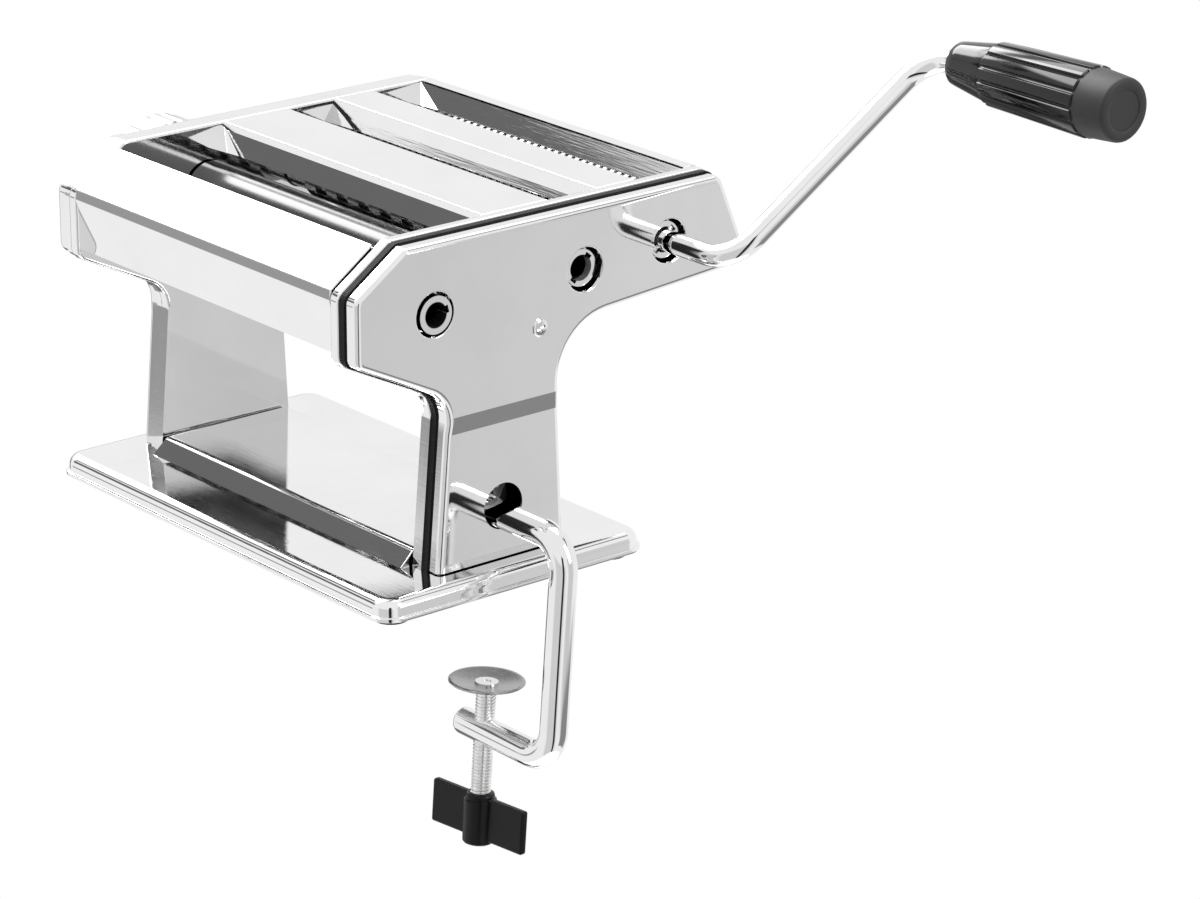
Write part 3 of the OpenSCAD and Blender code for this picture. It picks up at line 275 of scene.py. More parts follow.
def stood(name, profile, steps=64):
    """A profile of (height, radius), spun about the upright axis."""
    piece = line(name, [mm(r, 0, z) for z, r in profile])
    with editing(piece):
        bpy.ops.mesh.spin(steps=steps, angle=math.tau, center=(0, 0, 0), axis=(0, 0, 1))
        outward()
    return piece


def rod(name, corners, bend_r, r, segments=40, bend_steps=16, end_edge=0.8):
    """A round rod: a circle, extruded along the straights and spun round the bends."""
    way = (corners[1] - corners[0]).normalized()
    bpy.ops.mesh.primitive_circle_add(vertices=segments, radius=r * MM, location=corners[0],
                                      rotation=way.to_track_quat("Z", "X").to_euler())
    piece = bpy.context.object
    piece.name = name
    bpy.ops.object.transform_apply(location=True, rotation=True, scale=True)
    with editing(piece):
        at = corners[0]
        for before, here, after in zip(corners, corners[1:], corners[2:]):
            came, goes = (here - before).normalized(), (after - here).normalized()
            turn, hinge = came.angle(goes), came.cross(goes).normalized()
            reach = bend_r * MM * math.tan(turn / 2)
            start = here - came * reach
            bpy.ops.mesh.extrude_region_move(TRANSFORM_OT_translate={"value": start - at})
            bpy.ops.mesh.spin(steps=bend_steps, angle=-turn, axis=hinge,
                              center=start + hinge.cross(came) * bend_r * MM)
            at = here + goes * reach
        bpy.ops.mesh.extrude_region_move(TRANSFORM_OT_translate={"value": corners[-1] - at})
        bpy.ops.mesh.select_all(action="SELECT")
        bpy.ops.mesh.fill_holes(sides=0)
        outward()
        ends = [(end / MM, (end - inner).normalized()) for end, inner in
                ((corners[0], corners[1]), (corners[-1], corners[-2]))]
        choose_edges(piece, lambda p: any(abs((p - end).dot(out)) < SAME for end, out in ends))
        bpy.ops.mesh.bevel(offset=end_edge * MM, segments=3, affect="EDGES")
    return piece


def modify(piece, kind, **settings):
    """Adds a modifier and applies it."""
    only(piece)
    modifier = piece.modifiers.new(kind.title(), kind)
    for setting, value in settings.items():
        setattr(modifier, setting, value)
    bpy.ops.object.modifier_apply(modifier=modifier.name)


def cut_out(piece, *cutters):
    """Takes the cutters' shapes out of a piece."""
    for cutter in cutters:
        modify(piece, "BOOLEAN", operation="DIFFERENCE", solver="EXACT", object=cutter)
        bpy.data.objects.remove(cutter)


def fuse(piece, *others):
    """Joins other closed shapes to a piece in one skin."""
    for other in others:
        modify(piece, "BOOLEAN", operation="UNION", solver="EXACT", object=other)
        bpy.data.objects.remove(other)


def soften(piece, width, segments=3, above=35):
    """Rounds a piece's sharp edges."""
    modify(piece, "BEVEL", width=width * MM, segments=segments, limit_method="ANGLE",
           angle_limit=math.radians(above), harden_normals=False, use_clamp_overlap=True)


def smooth(piece, angle=32, weighted=True, crease=None):
    """Smooth shading that keeps the flat faces flat; edges that pass the crease test stay sharp."""
    only(piece)
    bpy.ops.object.shade_smooth_by_angle(angle=math.radians(angle))
    if crease:
        with editing(piece, "DESELECT"):
            choose_edges(piece, crease)
            bpy.ops.mesh.mark_sharp()
    if weighted:
        modify(piece, "WEIGHTED_NORMAL", keep_sharp=True, weight=100)


def drum(x0, x1, r, at, steps=64):
    """A closed cylinder along X, for cutting or fusing."""
    return turned("drum", [(x0, 0), (x0, r), (x1, r), (x1, 0)], at, steps)


def mirrored(piece, name):
    """A copy with its own mesh on the far side of the machine."""
    twin = piece.copy()
    twin.data = piece.data.copy()
    twin.name = name
    bpy.context.collection.objects.link(twin)
    only(twin)
    twin.scale = (-1, 1, 1)
    bpy.ops.object.transform_apply(location=True, rotation=True, scale=True)
    with editing(twin):
        bpy.ops.mesh.normals_make_consistent(inside=False)
    return twin


def place(piece, finish, slot, *nodes):
    """Gives a piece its material; the slot argument is not used. It stands for the nodes and rides on their
    body.
    """
    piece.data.materials.clear()
    piece.data.materials.append(finish)
    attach(piece, BODY_OF[nodes[0]])
    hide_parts(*nodes)
    return piece


def coat(finish, *nodes):
    """A CAD node keeps its shape and gets a material."""
    for node in nodes:
        for holder in frame["nodes"][node].material_slots:
            holder.material = finish


# Materials

class Wire:
    """A socket that takes part in sums: each operator adds a Math node."""

    def __init__(self, tree, socket):
        self.tree, self.socket = tree, socket

    def math(self, operation, *terms):
        return self.tree.add("ShaderNodeMath", {"operation": operation}, dict(enumerate(terms)))

    def __add__(self, other):
        return self.math("ADD", self, other)

    def __sub__(self, other):
        return self.math("SUBTRACT", self, other)

    def __rsub__(self, other):
        return self.math("SUBTRACT", other, self)

    def __mul__(self, other):
        return self.math("MULTIPLY", self, other)

    def __gt__(self, other):
        return self.math("GREATER_THAN", self, other)

    def __abs__(self):
        return self.math("ABSOLUTE", self)

    __radd__, __rmul__ = __add__, __mul__


class Tree:
    """A node tree that is written one node at a time."""

    def __init__(self, nodes_of):
        nodes_of.use_nodes = True
        self.tree = nodes_of.node_tree
        self.tree.nodes.clear()

    def add(self, kind, settings=None, sockets=None, out=0):
        """A node with its settings, then the values or links of its sockets."""
        node = self.tree.nodes.new(kind)
        for setting, value in (settings or {}).items():
            if setting == "stops":
                self.set_stops(node.color_ramp, value)
            else:
                setattr(node, setting, value)
        for socket, value in (sockets or {}).items():
            if isinstance(value, Wire):
                self.tree.links.new(value.socket, node.inputs[socket])
            else:
                node.inputs[socket].default_value = value
        return Wire(self, node.outputs[out]) if node.outputs else None

    def set_stops(self, ramp, stops):
        while len(ramp.elements) < len(stops):
            ramp.elements.new(0.5)
        for element, (position, shade) in zip(ramp.elements, stops):
            element.position = position
            element.color = (shade, shade, shade, 1)

    def noise(self, place, scale, detail=3, roughness=0.55):
        return self.add("ShaderNodeTexNoise", {"noise_dimensions": "3D"},
                        {"Vector": place, "Scale": scale, "Detail": detail, "Roughness": roughness})

    def stretched(self, place, stretch, turn=(0, 0, 0)):
        """The place scaled along each axis, for patterns that are drawn out one way."""
        return self.add("ShaderNodeMapping", {}, {"Vector": place, "Scale": stretch, "Rotation": turn})

    def ramp(self, value, *stops):
        return self.add("ShaderNodeValToRGB", {"stops": stops}, {"Fac": value})

    def tint(self, amount, dark, light):
        """From the first colour to the second as the amount goes from 0 to 1."""
        return self.add("ShaderNodeMix", {"data_type": "RGBA"}, {0: amount, 6: dark, 7: light}, out=2)

    def bump(self, height, strength, distance):
        return self.add("ShaderNodeBump", {}, {"Height": height, "Strength": strength, "Distance": distance})

    def rise(self, value, start, end, first=0, last=1):
        """Goes evenly from first to last while the value goes from start to end."""
        return self.add("ShaderNodeMapRange", {"clamp": True},
                        {0: value, 1: start, 2: end, 3: first, 4: last})


def grey(value):
    """A grey as a colour."""
    return (value, value, value, 1)


# Levels shared by several materials: black painted inside the sockets as painted shade, and heights of the
# bumps in metres
PAINTED_SHADE_BLACK = 0.006
WAVE_HEIGHT, GRAIN_HEIGHT, PIT_HEIGHT, SKIN_HEIGHT = 0.004, 0.00004, 0.00005, 0.00006


def new_finish(name, build, **constants):
    """A material from a function that gives the shader's varying sockets."""
    finish = bpy.data.materials.new(name)
    tree = Tree(finish)
    spot = tree.add("ShaderNodeTexCoord", out="Object")
    shader = tree.add("ShaderNodeBsdfPrincipled", {}, {**build(tree, spot), **constants})
    tree.add("ShaderNodeOutputMaterial", {}, {"Surface": shader})
    return finish


def mirror_steel(name, shade, rough, wave=0.10):
    """Polished steel sheet: faint smears, tiny scratches and the slow waves of pressed metal."""
    def build(tree, spot):
        smear = tree.noise(spot, 28, 5, 0.62)
        scratch = tree.noise(tree.stretched(spot, (60, 2400, 900), (0.3, 0.2, 0.5)), 1, 2)
        wear = tree.ramp(smear, (0.38, 0), (0.72, 1))
        height = tree.noise(spot, 11, 1) + scratch * 0.02
        return {
            "Base Color": tree.tint(wear, grey(shade), grey(shade * 0.95)),
            "Roughness": rough + wear * 0.035 + (scratch > 0.66) * 0.03,
            "Normal": tree.bump(height, wave, WAVE_HEIGHT),
        }
    return new_finish(name, build, Metallic=1.0)


def brushed_steel(name, shade, rough, stretch, depth, socket_x=None):
    """Satin steel: fine grain drawn out one way over a slow change of tone; painted black past socket_x, a
    painted shade inside the sockets.
    """
    def build(tree, spot):
        grain = tree.noise(tree.stretched(spot, stretch), 1, 4, 0.7)
        cloud = tree.noise(spot, 16, 3)
        tone = tree.tint(cloud, grey(shade * 0.95), grey(shade * 1.04))
        if socket_x:
            # Past socket_x the colour is painted black: painted shade inside the sockets
            x = tree.add("ShaderNodeSeparateXYZ", {}, {0: spot})
            tone = tree.tint(x > socket_x * MM, tone, grey(PAINTED_SHADE_BLACK))
        return {
            "Base Color": tone,
            "Roughness": rough + (grain - 0.5) * 0.14 + (cloud - 0.5) * 0.05,
            "Normal": tree.bump(grain, depth, GRAIN_HEIGHT),
        }
    return new_finish(name, build, Metallic=1.0)


def zinc_plate(name, shade, rough):
    """Zinc-plated steel: a dull bright skin with darker handled patches."""
    def build(tree, spot):
        patch = tree.ramp(tree.noise(spot, 240, 4), (0.35, 0), (0.7, 1))
        pits = tree.noise(spot, 2600, 2)
        clean, handled = (shade, shade, shade * 1.01, 1), (shade * 0.82, shade * 0.82, shade * 0.80, 1)
        return {
            "Base Color": tree.tint(patch, clean, handled),
            "Roughness": rough + patch * 0.12,
            "Normal": tree.bump(pits, 0.12, PIT_HEIGHT),
        }
    return new_finish(name, build, Metallic=1.0)


def moulded(name, shade, rough, pebble, depth, dust=0.02, **constants):
    """Moulded plastic or rubber: a fine skin texture, and faint paler rubbing."""
    def build(tree, spot):
        skin = tree.noise(spot, pebble, 2, 0.6)
        rub = tree.ramp(tree.noise(spot, 70, 5, 0.65), (0.45, 0), (0.8, 1))
        return {
            "Base Color": tree.tint(rub, grey(shade), grey(shade + dust)),
            "Roughness": rough + rub * 0.10 + (skin - 0.5) * 0.08,
            "Normal": tree.bump(skin, depth, SKIN_HEIGHT),
        }
    return new_finish(name, build, **constants)


def hub_finish(name, axis):
    """The bright hub of a roller: turned steel outside, painted black inside its bore as painted shade."""
    def build(tree, spot):
        parts = tree.add("ShaderNodeSeparateXYZ", {}, {0: spot}).socket.node.outputs
        y, z = Wire(tree, parts[1]) - axis[0] * MM, Wire(tree, parts[2]) - axis[1] * MM
        out = tree.add("ShaderNodeMath", {"operation": "SQRT"}, {0: y * y + z * z})
        bright = tree.rise(out, HUB_BORE_R * MM, (HUB_BORE_R + HUB_EDGE) * MM)
        rings = tree.noise(tree.stretched(spot, (400, 400, 400)), 1, 3)
        return {
            # Inside the bore the colour is painted black and not metallic: painted shade in the bore
            "Base Color": tree.tint(bright, grey(PAINTED_SHADE_BLACK), grey(0.86)),
            "Metallic": bright,
            "Roughness": 0.5 - bright * 0.42 + (rings - 0.5) * 0.05,
            "Normal": tree.bump(rings, 0.12, GRAIN_HEIGHT),
        }
    return new_finish(name, build)


# Finishes by the part that they're first used on: shade, roughness, then grain or texture
CHROME = mirror_steel("chrome_sheet", 0.90, 0.03)
CHROME_ROD = mirror_steel("chrome_rod", 0.88, 0.025, wave=0.02)
COVER_STEEL = mirror_steel("cover_steel", 0.87, 0.045, wave=0.05)
PLATE_STEEL = mirror_steel("plate_steel", 0.88, 0.05, wave=0.05)
ROLLER_STEEL = brushed_steel("roller_steel", 0.60, 0.13, (2600, 30, 30), 0.30, socket_x=SOCKET_X)
# A near-black copy of the roller steel: painted shade on the rear roller and the tie rods inside the head
PAINTED_SHADE_STEEL = brushed_steel("painted_shade_steel", 0.10, 0.16, (2600, 30, 30), 0.30)
# The cutters' steel is darkened below a bare steel's tone: partly painted shade inside the head
CUTTER_STEEL = brushed_steel("cutter_steel", 0.30, 0.22, (2600, 40, 40), 0.30, socket_x=SOCKET_X)
PAD_STEEL = brushed_steel("pad_steel", 0.4, 0.25, (700, 700, 3000), 0.35)
RIVET_STEEL = brushed_steel("rivet_steel", 0.80, 0.12, (500, 500, 500), 0.15)
GEAR_STEEL = zinc_plate("gear_steel", 0.45, 0.34)
ZINC = zinc_plate("zinc_thread", 0.90, 0.24)
CHANNEL_STEEL = zinc_plate("channel_steel", 0.60, 0.34)
NYLON = moulded("bearing_nylon", 0.02, 0.42, 900, 0.15)
SEAL = moulded("seal_black", 0.002, 0.60, 1200, 0.20, dust=0.002, **{"Specular IOR Level": 0.2})
RUBBER = moulded("foot_rubber", 0.012, 0.78, 1500, 0.45)
MATT_BLACK = moulded("knob_black", 0.018, 0.46, 1300, 0.30)
CAP_BLACK = moulded("cap_matt", 0.026, 0.50, 2200, 0.35, dust=0.010, **{"Specular IOR Level": 0.35})
WING_BLACK = moulded("wing_satin", 0.003, 0.30, 1100, 0.22, dust=0.004, **{"Specular IOR Level": 0.2})
GLOSS_BLACK = moulded("grip_gloss", 0.003, 0.07, 500, 0.03, dust=0.002, **{"Specular IOR Level": 0.45})


# Base

BASE_X, BASE_Y, BASE_CORNER_R, BASE_EDGE_R, BASE_SKIN = 200.8, 118.2, 9, 4, 1.0
RIM, RIM_WIDTH, RIM_EDGE = 1.5, 1.2, 0.35
PLATFORM_X, PLATFORM_FOOT, PLATFORM_CROWN, PLATFORM_TOP, PLATFORM_EDGE_R = 75, 33, 27, 13.5, 1.2


def base_pan():
    """The pressed base: a rim, a wall with a rounded edge, and the raised platform."""
    bpy.ops.mesh.primitive_cube_add(size=MM)
    pan = bpy.context.object
    pan.name = "pressed_base"
    with editing(pan):
        bpy.ops.transform.resize(value=(BASE_X, BASE_Y, RIM))
        bpy.ops.transform.translate(value=mm(0, 0, RIM / 2))
        choose_edges(pan, lambda p: True, lambda way: abs(way.z) > RIM / 2)
        bpy.ops.mesh.bevel(offset=BASE_CORNER_R * MM, segments=10, affect="EDGES")
        choose_faces(pan, lambda p, n: n.z > FACING)
        bpy.ops.mesh.inset(thickness=RIM_WIDTH * MM)
        bpy.ops.mesh.extrude_region_move(TRANSFORM_OT_translate={"value": mm(0, 0, BASE_TOP - RIM)})
        choose_edges(pan, lambda p: p.z > BASE_TOP - NEAR)
        bpy.ops.mesh.bevel(offset=BASE_EDGE_R * MM, segments=8, affect="EDGES")
    fuse(pan, platform())
    with editing(pan, "DESELECT"):
        choose_faces(pan, lambda p, n: p.z < SAME and n.z < -FACING)
        bpy.ops.mesh.delete(type="FACE")
    modify(pan, "SOLIDIFY", thickness=BASE_SKIN * MM, offset=-1)
    soften(pan, RIM_EDGE, 2, 50)
    smooth(pan, 38)
    return place(pan, CHROME, "polished", "base_pan")


def platform():
    """The raised part of the base between the side plates, with sloping front and rear."""
    low = BASE_TOP - OVERRUN
    block = plate("platform", [
        (-PLATFORM_FOOT - OVERRUN, low), (PLATFORM_FOOT + OVERRUN, low),
        (PLATFORM_CROWN, PLATFORM_TOP), (-PLATFORM_CROWN, PLATFORM_TOP),
    ], -PLATFORM_X, PLATFORM_X)
    with editing(block, "DESELECT"):
        choose_edges(block, lambda p: p.z > PLATFORM_TOP - NEAR)
        bpy.ops.mesh.bevel(offset=PLATFORM_EDGE_R * MM, segments=5, affect="EDGES")
    return block


# Frame

PLATE_EDGE_R, WINDOW_EDGE = 1.1, 0.45
# The rear smooth roller's bearing slides in this opening: places along Y and heights
ROLLER_SLOT = [(-13.7, 95.2), (3.6, 96.4), (2.5, 112.6), (-14.8, 111.4)]
# Screw head: out from the cover, radius; then its cross recess
SCREW_HEAD = [
    (-0.8, 0), (-0.8, 1.7), (0, 1.7), (0, 3.3), (0.35, 3.25), (0.65, 2.9), (0.85, 2.2), (0.9, 1.2), (0.9, 0),
]
CROSS_DEEP, CROSS_LONG, CROSS_WIDE, CROSS_OUT, CROSS_TURN = 0.9, 3.6, 0.75, 0.75, 20


def side_plate():
    """The right side plate with rounded edges."""
    piece = plate("right_side_plate", frame_outline(0), PLATE_IN, PLATE_OUT)
    with editing(piece, "DESELECT"):
        choose_edges(piece, lambda p: p.z > BASE_TOP + NEAR, lambda way: abs(way.x) < NEAR)
        bpy.ops.mesh.bevel(offset=PLATE_EDGE_R * MM, segments=4, affect="EDGES")
    return piece


def side_plates():
    """Both side plates, with the seats of the rollers' bearings and the clamp's hole in the right one."""
    right = side_plate()
    left = mirrored(right, "left_side_plate")
    for piece, side in ((right, 1), (left, -1)):
        through = side * (PLATE_IN - OVERRUN), side * (PLATE_OUT + OVERRUN)
        holes = [drum(*through, BUSH_R, at) for at in
                 (SMOOTH_AXIS, WIDE_AXIS, WIDE_REAR_AXIS, FINE_AXIS, FINE_REAR_AXIS)]
        holes.append(plate("slot", ROLLER_SLOT, *through))
        if side > 0:
            holes.append(drum(*through, CLAMP_HOLE_R, CLAMP_HOLE))
        cut_out(piece, *holes)
        smooth(piece, 32)
    place(right, PLATE_STEEL, "polished", "side_frame_right")
    place(left, PLATE_STEEL, "polished", "side_frame_left")


def cover(name, holes):
    """A pressed cover: a shallow shell with a rounded edge and round windows."""
    edge = [(COVER_OUT - COVER_EDGE * back, frame_outline(COVER_STEP + COVER_EDGE * inward, COVER_FOOT))
            for back, inward in quarter(8)]
    piece = stacked(name, [(COVER_IN, frame_outline(COVER_STEP, COVER_FOOT))] + edge)
    joggle(piece)
    inside = frame_outline(COVER_STEP + COVER_WALL, BASE_TOP - OVERRUN)
    cut_out(piece, plate("hollow", inside, COVER_IN - OVERRUN, COVER_ROOF))
    cut_out(piece, *[drum(COVER_IN, COVER_OUT + OVERRUN, r, at) for at, r in holes])
    with editing(piece, "DESELECT"):
        for at, r in holes:
            choose_edges(piece, lambda p: p.x > COVER_OUT - SAME and
                         abs(math.hypot(p.y - at[0], p.z - at[1]) - r) < SAME)
            bpy.ops.mesh.bevel(offset=WINDOW_EDGE * MM, segments=3, affect="EDGES")
    smooth(piece, 34, crease=on_joggle)
    return piece


def on_joggle(spot):
    """Whether a point lies on one of the two folds of the cover's leg."""
    return abs(spot.x) > COVER_ROOF and min(abs(spot.z - JOGGLE_TOP), abs(spot.z - JOGGLE_FOOT)) < SAME


def joggle(piece):
    """Sets the cover's leg a little back below the head, with a narrow slope between."""
    for height in (JOGGLE_TOP, JOGGLE_FOOT):
        with editing(piece):
            bpy.ops.mesh.bisect(plane_co=mm(0, 0, height), plane_no=(0, 0, 1))
    with editing(piece, "DESELECT"):
        mesh = bmesh.from_edit_mesh(piece.data)
        for vertex in mesh.verts:
            spot = vertex.co / MM
            vertex.select_set(spot.z < JOGGLE_FOOT + SAME and spot.x > COVER_IN + NEAR)
        mesh.select_flush_mode()
        bmesh.update_edit_mesh(piece.data)
        bpy.ops.transform.translate(value=mm(-JOGGLE_DEPTH, 0, 0))


def covers():
    """The right cover with its windows, and the left one with the knob's."""
    windows = [(at, WINDOW_R) for at in (SMOOTH_AXIS, WIDE_AXIS, FINE_AXIS)]
    right = cover("right_cover", windows + [(CLAMP_HOLE, CLAMP_HOLE_R)])
    place(right, COVER_STEEL, "satin", "cover_right")
    blank = cover("left_cover_blank", [(KNOB_AXIS, WINDOW_R)])
    left = mirrored(blank, "left_cover")
    bpy.data.objects.remove(blank)
    smooth(left, 34, crease=on_joggle)
    place(left, COVER_STEEL, "satin", "cover_left")


def cover_screws():
    """Pan-head screws with a cross recess, one on each cover."""
    head = turned("right_cover_screw", [(COVER_OUT + out, r) for out, r in SCREW_HEAD], COVER_SCREW, 48)
    for turn in (CROSS_TURN, CROSS_TURN + 90):
        bpy.ops.mesh.primitive_cube_add(size=MM, location=(0, 0, 0))
        slot = bpy.context.object
        with editing(slot):
            bpy.ops.transform.resize(value=(CROSS_DEEP, CROSS_LONG, CROSS_WIDE))
        across = Matrix.Rotation(math.radians(turn), 4, "X")
        slot.matrix_world = Matrix.Translation(mm(COVER_OUT + CROSS_OUT, *COVER_SCREW)) @ across
        only(slot)
        bpy.ops.object.transform_apply(location=True, rotation=True, scale=True)
        cut_out(head, slot)
    smooth(head, 34)
    twin = mirrored(head, "left_cover_screw")
    fuse(head, twin)
    head.name = "cover_screw_heads"
    smooth(head, 34)
    place(head, RIVET_STEEL, "zinc", "cover_screws")


# Top sheets

# Guide plates: node and name, front and rear edge along Y, drop and lean of the front, place of its crease
GUIDES = [
    ("guide_front", "guide_one", 2.7, 32, 9, 4.7, (0.87, 2.4)),
    ("guide_middle", "guide_two", 53.5, 71.5, 8.1, 3.525, (2.12, 5.0)),
]
GUIDE_LIP, GUSSET_X, GUSSET_SHARES = 3, 16, (0.4, 0.5)
# Rear guide: top edge, foot, length of the lip below the foot and lean of its gussets
REAR_EDGE, REAR_FOOT, REAR_LIP, REAR_LEAN = 94, (89.77, 121.35), 1.6, 4.7
# Folded sheets in the side view: place along Y, height and rounding
REAR_HOOD = [(109.5, 93, 0), (114.5, 94.5, 1.2), (99.6, TOP, 1.8), (REAR_EDGE, TOP, 0)]
FRONT_HOOD = [(-44.7, 127.4, 0), (-62.18, 115.0, 0.5), (-62.5, 111.3, 0.5), (-57.7, 90.6, 0)]
HEM, HEM_EDGE, HEM_SHARE = 2.8, 0.25, 0.9


def bent_sheet(name, path, thickness=SHEET):
    """A sheet folded along a path in the side view, as wide as the frame inside."""
    return plate(name, sheet_outline(path, thickness), -PLATE_IN, PLATE_IN)


def gusset(side, top_y, foot_y, foot_z, lean):
    """A corner deflector: a triangle drawn out to a point."""
    foot = [
        mm(side * PLATE_IN, foot_y - GUSSET_SHARES[0] * lean, foot_z),
        mm(side * (PLATE_IN - GUSSET_X), foot_y, foot_z),
        mm(side * PLATE_IN, foot_y + GUSSET_SHARES[1] * lean, foot_z),
    ]
    tip = mm(side * PLATE_IN, top_y, TOP - SHEET)
    piece = line("gusset", foot)
    with editing(piece):
        bpy.ops.mesh.edge_face_add()
        bpy.ops.mesh.extrude_region_move(TRANSFORM_OT_translate={"value": tip - sum(foot, Vector()) / 3})
        bpy.ops.mesh.merge(type="CENTER")
        outward()
    return piece


def guide(name, front, rear, drop, lean, crease):
    """A guide plate between two feed slots: leaning front with a faint crease, flat top, short rear lip."""
    piece = bent_sheet(name, [
        (rear, TOP - GUIDE_LIP, 0), (rear, TOP, 1.1), (front, TOP, 0.5),
        (front - crease[0], TOP - crease[1], 0.2), (front - lean, TOP - drop, 0),
    ])
    smooth(piece, 40)
    for side in (-1, 1):
        join(piece, gusset(side, front, front - lean, TOP - drop, lean))
    return piece


def top_sheets():
    """Everything between the side plates' upper edges."""
    for node, name, *sizes in GUIDES:
        place(guide(name, *sizes), CHROME, "polished", node)
    foot_y, foot_z = REAR_FOOT
    rear = bent_sheet("guide_three", [
        (REAR_EDGE, TOP - SHEET, 0), (foot_y, foot_z, 0.8), (foot_y, foot_z - REAR_LIP, 0),
    ])
    smooth(rear, 40)
    for side in (-1, 1):
        join(rear, gusset(side, REAR_EDGE, foot_y, foot_z, REAR_LEAN))
    place(rear, CHROME, "polished", "guide_rear")
    tail = bent_sheet("rear_hood", REAR_HOOD)
    smooth(tail, 40)
    place(tail, CHROME, "polished", "rear_cover")
    front_hood()


def front_hood():
    """The front cover: hemmed lip, sloping top, knee and skirt."""
    lip, knee = (Vector(corner[:2]) for corner in FRONT_HOOD[:2])
    down = (knee - lip).normalized()
    hood = bent_sheet("front_hood", FRONT_HOOD)
    start = lip + HEM_SHARE * SHEET * left_of(down)
    hem = bent_sheet("hem", [(*start, 0), (*(start + HEM * down), 0)])
    soften(hem, HEM_EDGE, 2, 60)
    smooth(hem, 40)
    smooth(hood, 40)
    join(hood, hem)
    place(hood, CHROME, "polished", "front_cover")


# Crank

# Crank rod along X: inner end, first and second bend, and how far its outer end stays behind the cap
CRANK_IN_X, CRANK_BEND_X, CRANK_TOP_X, CRANK_BACK = 73.5, 123, 143, 8
CRANK_BEND_R, CRANK_END_EDGE = 16, 0.6
GRIP_RIBS, GROOVE, GROOVE_DEPTH, BARREL_R, BARREL_GROWTH, BARREL_EDGE = 14, 1.5, 0.9, 11.5, 1.1, 0.55
# Across a groove in half widths, with the share of its depth
GROOVE_SHARES = ((-1.25, 0), (-0.9, 0.22), (-0.55, 0.85), (0, 1), (0.55, 0.85), (0.9, 0.22), (1.25, 0))
RIB_SHARES = (0.25, 0.5, 0.75)
# Profiles as (place along X, radius), the neck's from its inner end and the cap's from its joint
NECK = [
    (0, 4.05), (0, 7.2), (0.2, 7.6), (0.7, 7.95), (3.7, 8.4), (13.7, 10.0), (18.1, 10.68), (18.9, 10.75),
    (19.5, 10.6), (19.9, 10.2), (19.9, 4.05), (0, 4.05),
]
CAP = [
    (-0.8, 0), (-0.8, 11.7), (0.1, 11.95), (0.8, 12), (6.8, 11.62), (12.2, 11.2), (12.9, 11.0),
    (13.35, 10.6), (13.6, 10.0), (13.6, 7.35), (13.45, 7.1), (13.2, 7.0), (13.2, 0),
]


def crank_place(x, out):
    """A place in the crank's plane: along X, and out from the socket's axis."""
    a = math.radians(CRANK_ANGLE)
    return mm(x, FINE_AXIS[0] + out * math.cos(a), FINE_AXIS[1] + out * math.sin(a))


GRIP_AXIS = tuple(crank_place(0, CRANK_THROW).yz / MM)


def round_spot(axis, a, r):
    """A point in the side view, at angle a and distance r from an axis."""
    return axis[0] + r * math.cos(a), axis[1] + r * math.sin(a)


def crank_rod():
    """The crank's rod with its two bends."""
    corners = [crank_place(CRANK_IN_X, 0), crank_place(CRANK_BEND_X, 0),
               crank_place(CRANK_TOP_X, CRANK_THROW), crank_place(CAP_X - CRANK_BACK, CRANK_THROW)]
    piece = rod("crank_bar", corners, CRANK_BEND_R, CRANK_R, end_edge=CRANK_END_EDGE)
    smooth(piece, 40, weighted=False)
    place(piece, CHROME_ROD, "polished", "crank_rod")


def grip_ring():
    """Outline of the ribbed barrel: broad ribs with narrow round-bottomed grooves."""
    ring = []
    half = GROOVE / 2 / BARREL_R
    first, last = GROOVE_SHARES[0][0] * half, GROOVE_SHARES[-1][0] * half
    for k in range(GRIP_RIBS):
        mid = math.tau * k / GRIP_RIBS
        for share, sink in GROOVE_SHARES:
            ring.append(round_spot(GRIP_AXIS, mid + share * half, BARREL_R - GROOVE_DEPTH * sink))
        for share in RIB_SHARES:
            a = mid + last + share * (math.tau / GRIP_RIBS + first - last)
            ring.append(round_spot(GRIP_AXIS, a, BARREL_R))
    return ring


def grip():
    """The turning grip: a smooth neck and a ribbed barrel that grows towards the cap."""
    barrel = plate("turning_grip", grip_ring(), BARREL_X, CAP_X)
    with editing(barrel, "DESELECT"):
        choose_faces(barrel, lambda p, n: n.x > FACING)
        bpy.ops.transform.resize(value=(1, BARREL_GROWTH, BARREL_GROWTH),
                                 center_override=mm(CAP_X, *GRIP_AXIS))
        for end in (BARREL_X, CAP_X):
            choose_edges(barrel, lambda p: abs(p.x - end) < SAME)
            bpy.ops.mesh.bevel(offset=BARREL_EDGE * MM, segments=3, affect="EDGES")
    neck = turned("neck", [(GRIP_X + x, r) for x, r in NECK], GRIP_AXIS)
    smooth(barrel, 34, weighted=False)
    smooth(neck, 34, weighted=False)
    join(barrel, neck)
    place(barrel, GLOSS_BLACK, "gloss_black", "crank_grip")


def grip_cap():
    """The matt end cap with a rounded rim and a shallow round recess."""
    piece = turned("grip_end_cap", [(CAP_X + x, r) for x, r in CAP], GRIP_AXIS)
    smooth(piece, 36, weighted=False)
    place(piece, CAP_BLACK, "matt_black", "grip_cap")


# Knob

FLUTES, KNOB_EDGE_R, KNOB_CHAMFER = 30, 1.2, 0.4
# One flute and land: share of the pitch, radius
FLUTE = (
    (0, 21.9), (0.12, 22.05), (0.24, 22.4), (0.32, 22.5),
    (0.5, 22.5), (0.68, 22.5), (0.76, 22.4), (0.88, 22.05),
)
